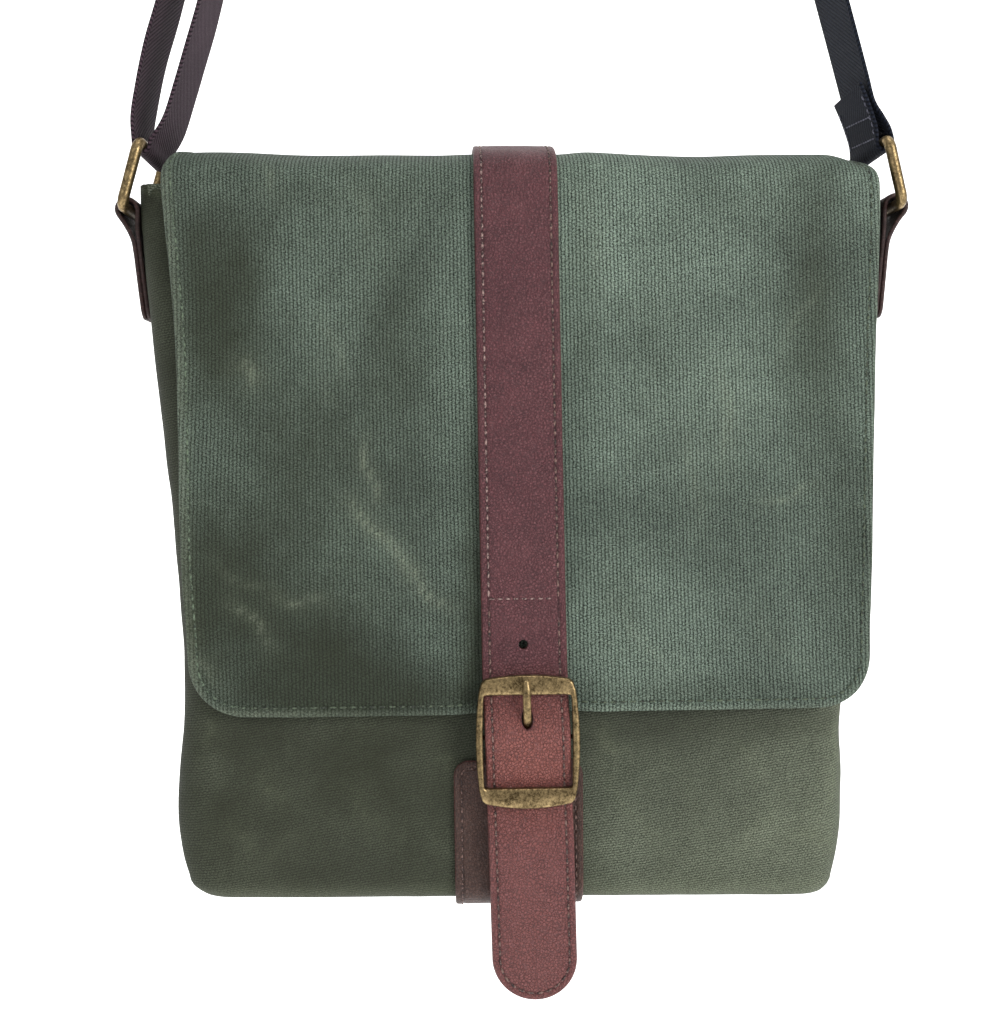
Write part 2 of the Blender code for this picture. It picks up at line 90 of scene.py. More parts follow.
# ============================================================ node materials
class Mat:
    def __init__(self, name):
        self.m = bpy.data.materials.new(name)
        self.m.use_nodes = True
        self.nt = self.m.node_tree
        self.b = self.nt.nodes.get("Principled BSDF")

    def node(self, kind, **kw):
        n = self.nt.nodes.new(kind)
        for k, v in kw.items():
            setattr(n, k, v)
        return n

    def put(self, sock, v):
        if isinstance(v, bpy.types.NodeSocket):
            self.nt.links.new(v, sock)
        elif isinstance(v, (tuple, list)) and len(v) == 3 and sock.type == "RGBA":
            sock.default_value = (v[0], v[1], v[2], 1.0)
        else:
            sock.default_value = v

    def math(self, op, a, b=None, c=None, clamp=False):
        n = self.node("ShaderNodeMath", operation=op)
        n.use_clamp = clamp
        for i, v in enumerate((a, b, c)):
            if v is not None:
                self.put(n.inputs[i], v)
        return n.outputs[0]

    def mix(self, f, a, b, mode="MIX"):
        n = self.node("ShaderNodeMix", data_type="RGBA", blend_type=mode)
        n.clamp_factor = True
        self.put(n.inputs[0], f)
        self.put(n.inputs[6], a)
        self.put(n.inputs[7], b)
        return n.outputs[2]

    def uv(self):
        t = self.node("ShaderNodeUVMap")
        t.uv_map = "UVMap"
        s = self.node("ShaderNodeSeparateXYZ")
        self.nt.links.new(t.outputs[0], s.inputs[0])
        return t.outputs[0], s.outputs[0], s.outputs[1]

    def noise(self, vec, scale, detail=3.0, rough=0.55, dist=0.0):
        n = self.node("ShaderNodeTexNoise")
        self.put(n.inputs["Vector"], vec)
        n.inputs["Scale"].default_value = scale
        n.inputs["Detail"].default_value = detail
        n.inputs["Roughness"].default_value = rough
        n.inputs["Distortion"].default_value = dist
        return n.outputs["Fac"]

    def ramp(self, f, lo, hi, a=0.0, b=1.0):
        n = self.node("ShaderNodeMapRange")
        n.clamp = True
        self.put(n.inputs[0], f)
        for i, v in zip((1, 2, 3, 4), (lo, hi, a, b)):
            n.inputs[i].default_value = v
        return n.outputs[0]

    def attr(self, name):
        n = self.node("ShaderNodeAttribute")
        n.attribute_name = name
        return n.outputs["Fac"]

    def scale_vec(self, vec, x, y):
        n = self.node("ShaderNodeVectorMath", operation="MULTIPLY")
        self.put(n.inputs[0], vec)
        n.inputs[1].default_value = (x, y, 1.0)
        return n.outputs[0]

    def obj_vec(self):
        return self.node("ShaderNodeTexCoord").outputs["Object"]

    def bump(self, height, dist, strength=1.0):
        n = self.node("ShaderNodeBump")
        n.inputs["Strength"].default_value = strength
        n.inputs["Distance"].default_value = dist
        self.put(n.inputs["Height"], height)
        self.nt.links.new(n.outputs[0], self.b.inputs["Normal"])

    def out(self, color=None, rough=None, metal=None):
        if color is not None:
            self.put(self.b.inputs["Base Color"], color)
        if rough is not None:
            self.put(self.b.inputs["Roughness"], rough)
        if metal is not None:
            self.put(self.b.inputs["Metallic"], metal)
        return self.m


def canvas_material(name, dark, light, pale, pitch, length, twill=False, contrast=1.0, blotch=1.0, speck=0.5, deep=None):
    """Waxed cotton: yarns as ribs, wax clouding, pale creases (attribute 'wear'), and darker stains mixed with painted
    shade ('dark').
    """
    k = Mat(name)
    vec, u, v = k.uv()
    j = k.math("MULTIPLY", k.math("SUBTRACT", k.noise(vec, 90.0, 3.0, 0.55), 0.5), 0.0008)
    j2 = k.math("MULTIPLY", k.math("SUBTRACT", k.noise(vec, 560.0, 2.0, 0.6), 0.5), pitch * 0.55)
    uu = k.math("ADD", u, k.math("ADD", j, j2))
    vv = k.math("ADD", v, k.math("SUBTRACT", j, j2))
    if twill:
        a = k.math("MULTIPLY", k.math("ADD", vv, k.math("MULTIPLY", uu, 0.16)), 1.0 / pitch)
        b = k.math("MULTIPLY", uu, 1.0 / length)
    else:
        a = k.math("MULTIPLY", uu, 1.0 / pitch)
        b = k.math("MULTIPLY", vv, 1.0 / length)
    fa = k.math("FLOOR", a)
    bb = k.math("ADD", b, k.math("MULTIPLY", fa, 0.5 if not twill else 0.37))
    hu = k.math("SINE", k.math("MULTIPLY", k.math("FRACT", a), math.pi))
    hv = k.math("SINE", k.math("MULTIPLY", k.math("FRACT", bb), math.pi))
    cid = k.node("ShaderNodeCombineXYZ")
    k.nt.links.new(fa, cid.inputs[0])
    k.nt.links.new(k.math("FLOOR", bb), cid.inputs[1])
    wn = k.node("ShaderNodeTexWhiteNoise", noise_dimensions="2D")
    k.nt.links.new(cid.outputs[0], wn.inputs["Vector"])
    cell = wn.outputs["Value"]
    h = k.math("MULTIPLY", hu, k.math("MULTIPLY_ADD", hv, 0.55, 0.45))
    slub = k.noise(k.scale_vec(vec, 420.0, 70.0), 1.0, 2.0, 0.6)
    fuzz = k.noise(vec, 2100.0, 2.0, 0.7)
    h1 = k.math("ADD", h, k.math("MULTIPLY", k.math("SUBTRACT", slub, 0.5), 0.30))
    h1 = k.math("ADD", h1, k.math("MULTIPLY", k.math("SUBTRACT", cell, 0.5), 0.14))
    h1 = k.math("MULTIPLY_ADD", h1, 0.74, 0.13)
    fuzz2 = k.noise(vec, 1150.0, 2.0, 0.6)
    h1 = k.math("ADD", h1, k.math("MULTIPLY", k.math("SUBTRACT", fuzz2, 0.5), 1.0))
    h2 = k.math("ADD", h1, k.math("MULTIPLY", k.math("SUBTRACT", fuzz, 0.5), 3.1))
    cloud = k.noise(vec, 7.0, 5.0, 0.62, 0.6)
    fine = k.noise(vec, 55.0, 4.0, 0.6, 0.3)
    base = k.mix(k.ramp(h2, 0.05, 1.10), dark, light)
    sp = k.ramp(k.math("ADD", k.math("MULTIPLY", cell, 0.30), fuzz), 0.84, 1.02, 0.0, speck)
    base = k.mix(sp, base, pale)
    shade = k.ramp(cloud, 0.36, 0.64, 1.0 - 0.30 * blotch, 1.0 + 0.16 * blotch)
    shade2 = k.ramp(fine, 0.3, 0.7, 1.0 - 0.045 * blotch, 1.0 + 0.04 * blotch)
    tone = k.math("MULTIPLY", shade, shade2)
    n = k.node("ShaderNodeCombineColor")
    for i in range(3):
        k.nt.links.new(tone, n.inputs[i])
    col = k.mix(1.0, base, n.outputs[0], "MULTIPLY")
    # the 'dark' attribute darkens towards the deep colour: stains, and painted shade where the flap and body are given
    # it
    stain_and_shade = k.math("MULTIPLY", k.attr("dark"), k.ramp(k.noise(vec, 24.0, 4.0, 0.6, 0.5), 0.3, 0.7, 0.72, 1.0))
    dp = deep or tuple(c * 0.5 for c in dark)
    grainy = k.mix(k.ramp(h2, 0.05, 1.10), tuple(c * 0.62 for c in dp), tuple(c * 1.34 for c in dp))
    col = k.mix(stain_and_shade, col, grainy)
    wear = k.math("MULTIPLY", k.attr("wear"), k.ramp(k.noise(vec, 900.0, 4.0, 0.75), 0.34, 0.66, 0.05, 0.72))
    col = k.mix(k.math("MULTIPLY", wear, k.ramp(h2, 0.0, 0.9, 0.35, 0.85)), col, pale)
    k.bump(h2, 0.00030 * contrast, 0.9)
    k.b.inputs["Specular IOR Level"].default_value = 0.18
    return k.out(col, k.ramp(cloud, 0.35, 0.65, 0.62, 0.80), 0.0)


def leather_material(name, base, deep, light, grain=1.5, rough=(0.42, 0.58), depth=0.00022, highlight_colour=None):
    k = Mat(name)
    vec, u, v = k.uv()
    warp = k.noise(vec, 500.0, 2.0, 0.5)
    vm = k.node("ShaderNodeVectorMath", operation="ADD")
    k.nt.links.new(vec, vm.inputs[0])
    sc = k.node("ShaderNodeCombineXYZ")
    w = k.math("MULTIPLY", k.math("SUBTRACT", warp, 0.5), 0.0009)
    k.nt.links.new(w, sc.inputs[0])
    k.nt.links.new(w, sc.inputs[1])
    k.nt.links.new(sc.outputs[0], vm.inputs[1])
    vo = k.node("ShaderNodeTexVoronoi", feature="DISTANCE_TO_EDGE")
    k.nt.links.new(vm.outputs[0], vo.inputs["Vector"])
    vo.inputs["Scale"].default_value = 1000.0 / grain
    cell = k.ramp(vo.outputs["Distance"], 0.0, 0.15)
    pore = k.noise(vec, 1500.0, 3.0, 0.6)
    cloud = k.noise(vec, 14.0, 5.0, 0.6, 0.5)
    mid = k.noise(vec, 90.0, 4.0, 0.6)
    col = k.mix(k.ramp(cloud, 0.32, 0.68), base, light)
    col = k.mix(k.ramp(mid, 0.35, 0.75, 0.0, 0.35), col, deep)
    # the 'wear' attribute lightens towards the highlight colour; on the closure strap this is a painted highlight on
    # its lower part
    col = k.mix(k.math("MULTIPLY", k.attr("wear"), 0.8), col, highlight_colour or light)
    rnd_ = k.node("ShaderNodeTexVoronoi", feature="F1")
    k.nt.links.new(vm.outputs[0], rnd_.inputs["Vector"])
    rnd_.inputs["Scale"].default_value = 1000.0 / grain
    # pale specks on the grain cells: painted highlights
    speck = k.math("MULTIPLY", k.ramp(rnd_.outputs["Distance"], 0.05, 0.45, 1.0, 0.0), k.ramp(k.noise(vec, 620.0, 3.0, 0.7), 0.40, 0.62, 0.0, 0.55))
    col = k.mix(k.math("MULTIPLY", k.math("SUBTRACT", 1.0, cell), k.ramp(mid, 0.3, 0.7, 0.42, 0.75)), col, deep)
    col = k.mix(k.ramp(pore, 0.36, 0.58, 0.40, 0.0), col, deep)
    col = k.mix(k.ramp(pore, 0.56, 0.70, 0.0, 0.42), col, tuple(min(1.0, c * 1.5 + 0.05) for c in light))
    col = k.mix(speck, col, tuple(min(1.0, c * 1.4 + 0.045) for c in light))
    # pale streaks across the grain: painted highlights
    streak_highlight = k.noise(k.scale_vec(vec, 620.0, 240.0), 1.0, 4.0, 0.75)
    col = k.mix(k.ramp(streak_highlight, 0.60, 0.74, 0.0, 0.42), col, tuple(min(1.0, c * 1.5 + 0.05) for c in light))
    col = k.mix(k.attr("dark"), col, tuple(c * 0.35 for c in deep))
    h = k.math("ADD", k.math("MULTIPLY", cell, 0.75), k.math("MULTIPLY", pore, 0.6))
    k.bump(h, depth, 0.85)
    k.b.inputs["Specular IOR Level"].default_value = 0.38
    return k.out(col, k.ramp(mid, 0.3, 0.7, rough[0], rough[1]), 0.0)


def brass_material(name, bright, dark, rough=(0.28, 0.5)):
    k = Mat(name)
    vec = k.obj_vec()
    n1 = k.noise(vec, 900.0, 5.0, 0.75, 0.3)
    n2 = k.noise(vec, 240.0, 4.0, 0.6, 0.8)
    n3 = k.noise(vec, 2200.0, 3.0, 0.6)
    f = k.ramp(k.math("ADD", k.math("MULTIPLY", n1, 0.65), k.math("MULTIPLY", n2, 0.35)), 0.40, 0.62)
    col = k.mix(f, dark, bright)
    spot = k.ramp(n3, 0.62, 0.74, 0.0, 0.6)
    col = k.mix(spot, col, tuple(c * 0.35 for c in dark))
    geo = k.node("ShaderNodeNewGeometry")
    edge = k.ramp(geo.outputs["Pointiness"], 0.52, 0.60, 0.0, 0.45)
    col = k.mix(edge, col, tuple(min(1.0, c * 1.5) for c in bright))
    k.bump(k.math("ADD", n1, k.math("MULTIPLY", n3, 0.3)), 0.00006, 0.5)
    return k.out(col, k.ramp(n1, 0.35, 0.65, rough[1], rough[0]), 1.0)


def web_material(name, dark, light, half):
    """Twill webbing with a chain-like edge on both sides."""
    k = Mat(name)
    vec, u, v = k.uv()
    au = k.math("ABSOLUTE", u)
    edge = k.ramp(au, half - 0.0022, half - 0.0018)
    a = k.math("ADD", k.math("MULTIPLY", v, 1.0 / 0.0022), k.math("MULTIPLY", u, 1.0 / 0.0030))
    tw = k.math("SINE", k.math("MULTIPLY", k.math("FRACT", a), math.pi))
    b = k.math("SINE", k.math("MULTIPLY", k.math("FRACT", k.math("MULTIPLY", u, 1.0 / 0.0011)), math.pi))
    body = k.math("MULTIPLY", tw, k.math("MULTIPLY_ADD", b, 0.5, 0.5))
    ch = k.math("ABSOLUTE", k.math("SINE", k.math("ADD", k.math("MULTIPLY", v, math.pi / 0.0020), k.math("MULTIPLY", au, 900.0))))
    n = k.node("ShaderNodeMix", data_type="FLOAT")
    k.put(n.inputs[0], edge)
    k.put(n.inputs[2], body)
    k.put(n.inputs[3], ch)
    h = n.outputs[0]
    fz = k.noise(vec, 900.0, 3.0, 0.6)
    big = k.noise(vec, 25.0, 3.0, 0.6)
    col = k.mix(k.ramp(h, 0.1, 0.9), dark, light)
    col = k.mix(k.math("MULTIPLY", edge, k.ramp(h, 0.2, 0.9, 0.75, 0.1)), col, tuple(c * 0.45 for c in dark))
    col = k.mix(k.ramp(big, 0.35, 0.7, 0.0, 0.35), col, tuple(c * 0.7 for c in dark))
    k.bump(k.math("ADD", h, k.math("MULTIPLY", fz, 0.4)), 0.00035, 0.9)
    glint = k.ramp(k.noise(vec, 1600.0, 2.0, 0.7), 0.60, 0.74, 0.0, 0.55)
    col = k.mix(glint, col, tuple(min(1.0, c * 1.4 + 0.045) for c in light))
    k.b.inputs["Specular IOR Level"].default_value = 0.10
    return k.out(col, k.ramp(fz, 0.3, 0.7, 0.7, 0.9), 0.0)


def thread_material(name, a, b):
    k = Mat(name)
    vec = k.obj_vec()
    n = k.noise(vec, 900.0, 2.0, 0.6)
    col = k.mix(k.ramp(n, 0.42, 0.58), a, b)
    k.bump(k.noise(vec, 5000.0, 2.0, 0.5), 0.0001, 0.5)
    return k.out(col, 0.6, 0.0)


M_FLAP = canvas_material("waxed_duck_flap", srgb(16, 22, 17), srgb(143, 161, 146), srgb(172, 182, 156), 0.0016, 0.0015, contrast=1.3, blotch=1.4, speck=0.42, deep=srgb(48, 53, 40))
M_BODY = canvas_material("waxed_twill_body", srgb(34, 38, 30), srgb(124, 131, 113), srgb(146, 154, 124), 0.0011, 0.0017, twill=True, contrast=0.7, blotch=1.45, speck=0.20, deep=srgb(50, 53, 41))
M_INNER = canvas_material("cotton_lining", srgb(96, 90, 76), srgb(140, 132, 114), srgb(160, 152, 134), 0.0006, 0.0006, contrast=0.4, blotch=0.4, speck=0.1)
M_STRAP = leather_material("strap_leather", srgb(86, 42, 48), srgb(44, 20, 25), srgb(102, 56, 60), grain=1.2, rough=(0.46, 0.60), depth=0.0005, highlight_colour=srgb(150, 86, 74))
M_STRAP_EDGE = leather_material("strap_leather_edge", srgb(82, 42, 42), srgb(42, 22, 24), srgb(110, 62, 56), 0.7)
# patch leather: coloured darker than the strap leather as painted shade
M_PATCH_SHADED = leather_material("patch_leather", srgb(64, 40, 32), srgb(32, 20, 18), srgb(78, 50, 40), grain=1.25, depth=0.0003)
M_TAB = leather_material("tab_leather", srgb(42, 27, 27), srgb(20, 14, 15), srgb(54, 36, 34), grain=1.25, depth=0.0003)
M_TAB_EDGE = leather_material("tab_raw_edge", srgb(42, 25, 25), srgb(22, 14, 15), srgb(72, 40, 34), 0.6)
M_BRASS = brass_material("antique_brass", srgb(168, 146, 106), srgb(66, 54, 36), rough=(0.3, 0.55))
# near-black brass: painted shade, used on the buckle's centre rod so that it reads as the shadow in the gaps beside the
# strap
M_BRASS_SHADED = brass_material("darkened_brass", srgb(40, 33, 24), srgb(16, 13, 10), rough=(0.5, 0.7))
M_WEB = web_material("strap_webbing", srgb(26, 21, 26), srgb(78, 62, 71), 0.019)
# the right side of the shoulder strap gets a darker, bluer copy of the webbing colour: painted shade, for the side that
# faces away from the key light
M_WEB_SHADED = web_material("strap_webbing_navy", srgb(14, 16, 22), srgb(34, 38, 50), 0.019)
M_THREAD_PALE = thread_material("thread_pale_green", srgb(104, 120, 98), srgb(34, 44, 33))
M_THREAD_DARK = thread_material("thread_dark_green", srgb(64, 70, 56), srgb(44, 48, 40))
M_THREAD_MIX = thread_material("thread_olive", srgb(84, 96, 76), srgb(22, 27, 20))
M_THREAD_BROWN = thread_material("thread_brown", srgb(120, 92, 84), srgb(34, 20, 20))
M_THREAD_TAN = thread_material("thread_taupe", srgb(150, 124, 118), srgb(48, 30, 30))
M_THREAD_BLUE = thread_material("thread_grey_blue", srgb(118, 118, 134), srgb(70, 70, 86))


# ============================================================ mesh helpers (millimetres from the fold)
def to_m(p):
    p = np.asarray(p, float)
    q = p * 0.001
    q[..., 2] = (p[..., 2] - FD) * 0.001
    return q


def add_mesh(name, verts, faces, mat, uv=None, attrs=None, mat_index=None, smooth=True):
    me = bpy.data.meshes.new(name)
    me.from_pydata([tuple(v) for v in to_m(verts)], [], faces)
    mats = mat if isinstance(mat, (list, tuple)) else [mat]
    for m in mats:
        me.materials.append(m)
    if uv is not None:
        lay = me.uv_layers.new(name="UVMap")
        idx = np.zeros(len(me.loops), int)
        me.loops.foreach_get("vertex_index", idx)
        lay.data.foreach_set("uv", (np.asarray(uv, float)[idx] * 0.001).ravel())
    for k in ("wear", "dark"):
        a = me.attributes.new(k, "FLOAT", "POINT")
        vals = np.zeros(len(verts)) if attrs is None or k not in attrs else np.asarray(attrs[k], float)
        a.data.foreach_set("value", vals)
    if mat_index is not None:
        me.polygons.foreach_set("material_index", np.asarray(mat_index, int))
    if smooth:
        me.shade_smooth()
    me.update()
    ob = bpy.data.objects.new(name, me)
    bpy.context.scene.collection.objects.link(ob)
    return ob


def normals_of(P):
    du = np.gradient(P, axis=1)
    dv = np.gradient(P, axis=0)
    n = np.cross(du, dv)
    return n / np.maximum(np.linalg.norm(n, axis=2, keepdims=True), 1e-9)


def closed_sheet(name, P, ht, hb, UV, mat, attrs=None, edge_mat=False, flip=False):
    """A thin closed body: P is the grid of its middle, ht and hb its half thickness to either side, 0 at the border."""
    nr, nc = P.shape[:2]
    n = normals_of(P)
    if flip:
        n = -n
    top = P + n * ht[..., None]
    bot = P - n * hb[..., None]
    tid = np.arange(nr * nc).reshape(nr, nc)
    verts = list(top.reshape(-1, 3))
    bid = tid.copy()
    inner = np.zeros((nr, nc), bool)
    inner[1:-1, 1:-1] = True
    k = nr * nc
    ids = np.arange(k, k + inner.sum())
    bid[inner] = ids
    verts += list(bot[inner])
    uv = list(UV.reshape(-1, 2)) + list(UV[inner])
    at = None
    if attrs:
        at = {q: np.concatenate([a.reshape(-1), a[inner]]) for q, a in attrs.items()}
    A, B, C, D = tid[:-1, :-1].ravel(), tid[:-1, 1:].ravel(), tid[1:, 1:].ravel(), tid[1:, :-1].ravel()
    a, b, c, d = bid[:-1, :-1].ravel(), bid[:-1, 1:].ravel(), bid[1:, 1:].ravel(), bid[1:, :-1].ravel()
    f1 = np.stack([A, B, C, D], 1)
    f2 = np.stack([d, c, b, a], 1)
    if flip:
        f1, f2 = f1[:, ::-1], f2[:, ::-1]
    faces = [tuple(x) for x in f1] + [tuple(x) for x in f2]
    mi = None
    if edge_mat:
        er = np.zeros((nr - 1, nc - 1), int)
        er[:edge_mat, :] = 1
        er[-edge_mat:, :] = 1
        er[:, :edge_mat] = 1
        er[:, -edge_mat:] = 1
        mi = np.concatenate([er.ravel(), er.ravel()])
    ob = add_mesh(name, np.array(verts), faces, mat, uv, at, mi)
    return ob, top, bot, n


def rnd(d, r):
    x = np.clip(d / r, 0.0, 1.0)
    return np.sqrt(np.maximum(1.0 - (1.0 - x) ** 2, 0.0))


def smoothstep(a, b, x):
    t = np.clip((x - a) / (b - a), 0.0, 1.0)
    return t * t * (3 - 2 * t)


def edge_cols(half, step, edge=(0.0, 0.12, 0.45, 1.0, 1.7, 2.5, 3.2, 3.9, 4.7, 6.0)):
    """Positions across a strip, close together near both edges."""
    e = [x for x in edge if x < half * 0.9]
    n = max(int(round((2 * half - 2 * e[-1]) / step)), 2)
    mid = np.linspace(-half + e[-1], half - e[-1], n + 1)
    left = [-half + x for x in e[:-1]]
    return np.array(left + list(mid) + [-x for x in reversed(left)])


def smooth_path(pts, step):
    """Catmull-Rom through pts, resampled at an even step. Returns points and distance along."""
    p = np.asarray(pts, float)
    ext = np.vstack([2 * p[0] - p[1], p, 2 * p[-1] - p[-2]])
    out = []
    for i in range(1, len(ext) - 2):
        p0, p1, p2, p3 = ext[i - 1], ext[i], ext[i + 1], ext[i + 2]
        t = [0.0]
        for a, b in ((p0, p1), (p1, p2), (p2, p3)):
            t.append(t[-1] + max(np.linalg.norm(b - a), 1e-6) ** 0.5)
        for s in np.linspace(t[1], t[2], 24, endpoint=False):
            A1 = (t[1] - s) / (t[1] - t[0]) * p0 + (s - t[0]) / (t[1] - t[0]) * p1
            A2 = (t[2] - s) / (t[2] - t[1]) * p1 + (s - t[1]) / (t[2] - t[1]) * p2
            A3 = (t[3] - s) / (t[3] - t[2]) * p2 + (s - t[2]) / (t[3] - t[2]) * p3
            B1 = (t[2] - s) / (t[2] - t[0]) * A1 + (s - t[0]) / (t[2] - t[0]) * A2
            B2 = (t[3] - s) / (t[3] - t[1]) * A2 + (s - t[1]) / (t[3] - t[1]) * A3
            out.append((t[2] - s) / (t[2] - t[1]) * B1 + (s - t[1]) / (t[2] - t[1]) * B2)
    out.append(ext[-2])
    out = np.array(out)
    L = np.concatenate([[0], np.cumsum(np.linalg.norm(np.diff(out, axis=0), axis=1))])
    n = max(int(round(L[-1] / step)), 2)
    s = np.linspace(0, L[-1], n + 1)
    return np.stack([np.interp(s, L, out[:, k]) for k in range(out.shape[1])], 1), s


def along(path, s_at):
    d = np.concatenate([[0], np.cumsum(np.linalg.norm(np.diff(path, axis=0), axis=1))])
    return np.stack([np.interp(s_at, d, path[:, k]) for k in range(path.shape[1])], 1)


def fnoise(p, scale, seed=0.0):
    return noise.noise(Vector((p[0] * scale + seed, p[1] * scale - seed, p[2] * scale + 2 * seed)))


def stitches(name, pts, nrm, mat, pitch=4.1, length=3.0, r=0.36, lift=0.12, start=0.0):
    """Thread along a seam: one short rounded loop of thread for each stitch."""
    pts, nrm = np.asarray(pts, float), np.asarray(nrm, float)
    L = np.concatenate([[0], np.cumsum(np.linalg.norm(np.diff(pts, axis=0), axis=1))])
    count = int((L[-1] - start) // pitch)
    verts, faces = [], []
    ts = np.linspace(-1, 1, 6)
    for i in range(count):
        sc = start + (i + 0.5) * pitch
        c = np.array([np.interp(sc, L, pts[:, k]) for k in range(3)])
        a = np.array([np.interp(sc - length / 2, L, pts[:, k]) for k in range(3)])
        b = np.array([np.interp(sc + length / 2, L, pts[:, k]) for k in range(3)])
        n = np.array([np.interp(sc, L, nrm[:, k]) for k in range(3)])
        n /= np.linalg.norm(n)
        t = b - a
        t /= max(np.linalg.norm(t), 1e-9)
        w = np.cross(n, t)
        base = len(verts)
        for q in ts:
            o = c + t * q * length / 2 + n * (lift + 0.30 * (1 - q * q) - 0.22)
            rr = r * math.sqrt(max(1 - (0.97 * q) ** 2, 0.02))
            for j in range(6):
                an = math.pi * j / 3
                verts.append(o + w * rr * math.cos(an) + n * rr * 0.8 * math.sin(an))
        for u in range(len(ts) - 1):
            for j in range(6):
                k = (j + 1) % 6
                faces.append((base + u * 6 + j, base + u * 6 + k, base + (u + 1) * 6 + k, base + (u + 1) * 6 + j))
        faces.append(tuple(base + j for j in reversed(range(6))))
        e = base + (len(ts) - 1) * 6
        faces.append(tuple(e + j for j in range(6)))
    ob = add_mesh(name, np.array(verts), faces, mat)
    return ob


def tube(name, path, radius, mat, sides=14, closed=False, flat=None, up=(1, 0, 0)):
    """A round or oval bar along path; radius is a number or one for each point."""
    P = np.asarray(path, float)
    m = len(P)
    if closed:
        T = np.roll(P, -1, 0) - np.roll(P, 1, 0)
    else:
        T = np.gradient(P, axis=0)
    T /= np.linalg.norm(T, axis=1, keepdims=True)
    up = np.asarray(up, float)
    A = up[None] - T * (T @ up)[:, None]
    A /= np.linalg.norm(A, axis=1, keepdims=True)
    B = np.cross(T, A)
    R = np.ones(m) * radius if np.isscalar(radius) else np.asarray(radius, float)
    F = np.ones(m) if flat is None else np.ones(m) * flat
    verts = []
    for i in range(m):
        for j in range(sides):
            an = 2 * math.pi * j / sides
            verts.append(P[i] + A[i] * R[i] * math.cos(an) + B[i] * R[i] * F[i] * math.sin(an))
    faces = []
    for i in range(m if closed else m - 1):
        k = (i + 1) % m
        for j in range(sides):
            l = (j + 1) % sides
            faces.append((i * sides + j, i * sides + l, k * sides + l, k * sides + j))
    if not closed:
        faces.append(tuple(reversed(range(sides))))
        faces.append(tuple(range((m - 1) * sides, m * sides)))
    return add_mesh(name, np.array(verts), faces, mat)


# ============================================================ shared shape rules
FLAP_X, FLAP_R, FLAP_Z = 3.8, 22.0, -241.0


def lean(z):
    """The hanging flap and its strap lean a little to the right on their way down."""
    z = np.asarray(z, float)
    return 0.0085 * np.maximum(-20.0 - z, 0.0) + 0.0175 * np.maximum(-222.0 - z, 0.0)


def lerp(z, z0, v0, z1, v1):
    return v0 + (v1 - v0) * (z - z0) / (z1 - z0)


def pocket_y(z):
    return lerp(z, -56.0, -30.0, -320.0, -51.6)


def flap_y(z):
    return pocket_y(z) - 2.6


ROOF = [(30.6, -5.4), (30.1, -2.9), (27.6, -1.5), (22.0, -0.9), (12.0, -0.9), (0.0, -2.2), (-10.0, -4.4), (-18.0, -7.2),
        (-23.6, -10.0), (-27.0, -13.2), (-29.0, -18.0), (-30.3, -24.0), (-31.6, -36.0)]
HANG = [(flap_y(z) - 0.0, z) for z in (-56.0, -80.0, -110.0, -140.0, -170.0, -200.0, -225.0, FLAP_Z)]
PROFILE, PROF_S = smooth_path([(y, z) for y, z in ROOF + HANG], 1.0)
FOLD_S = float(PROF_S[np.argmin(np.hypot(PROFILE[:, 0] + 27.0, PROFILE[:, 1] + 13.2))])
FLAP_LEN = float(PROF_S[-1])


def prof(s):
    return np.stack([np.interp(s, PROF_S, PROFILE[:, 0]), np.interp(s, PROF_S, PROFILE[:, 1])], -1)


def s_at_z(z):
    """Distance down the flap's profile at height z, on the hanging side."""
    k = PROF_S > FOLD_S
    return float(np.interp(-z, -PROFILE[k, 1], PROF_S[k]))


def flap_w(s):
    z = prof(np.asarray(s, float))[..., 1]
    base = np.interp(z, [-241.0, -205.0, -175.0, -129.0, -79.0, -40.0, -15.0, 0.0], [143.6, 144.6, 146.4, 148.3, 150.8, 153.6, 155.0, 154.5])
    t = np.clip((-z - 2.0) / 11.0, 0, 1)
    return base - 5.5 * (1 - np.sqrt(1 - (1 - t) ** 2))


# creases: (x0, z0, x1, z1, width, height, paleness)
CREASES = [
    (-72.0, -151.0, -48.0, -182.0, 1.9, 1.0, 1.0), (-49.0, -180.0, -32.0, -198.0, 1.7, 0.7, 0.8), (-66.5, -126.0, -62.0, -152.0, 1.8, 0.8, 0.75),
    (-84.0, -72.0, -74.0, -98.0, 2.2, 0.8, 0.30), (-120.0, -94.0, -110.0, -99.0, 2.4, 0.8, 0.55), (-115.5, -92.0, -114.0, -103.0, 1.8, 0.6, 0.5),
    (-121.0, -193.0, -105.0, -211.0, 1.7, 0.8, 0.65), (-104.0, -191.5, -82.0, -194.5, 1.5, 0.6, 0.60), (-130.0, -178.0, -106.0, -190.0, 2.0, 0.6, 0.25),
    (87.0, -96.0, 89.0, -138.0, 4.0, 0.9, 0.40), (103.0, -154.0, 127.0, -147.0, 1.6, 0.8, 0.45),
    (112.0, -90.0, 130.0, -60.0, 2.4, 0.7, 0.25), (72.0, -120.0, 75.0, -165.0, 3.0, 0.6, 0.25),
    (-20.0, -60.0, -26.0, -92.0, 2.0, 0.0, 0.0), (40.0, -196.0, 60.0, -226.0, 3.0, 0.6, 0.20),
    (-108.0, -10.0, -103.0, -24.0, 2.4, 0.4, 0.40), (-88.0, -92.0, -80.0, -110.0, 1.5, 0.4, 0.25), (-70.0, -20.0, -60.0, -44.0, 3.5, 0.5, 0.22),
    (96.0, -200.0, 118.0, -224.0, 3.0, 0.5, 0.18), (30.0, -24.0, 36.0, -60.0, 3.0, 0.5, 0.18), (-140.0, -214.0, -128.0, -228.0, 3.0, 0.5, 0.35),
]
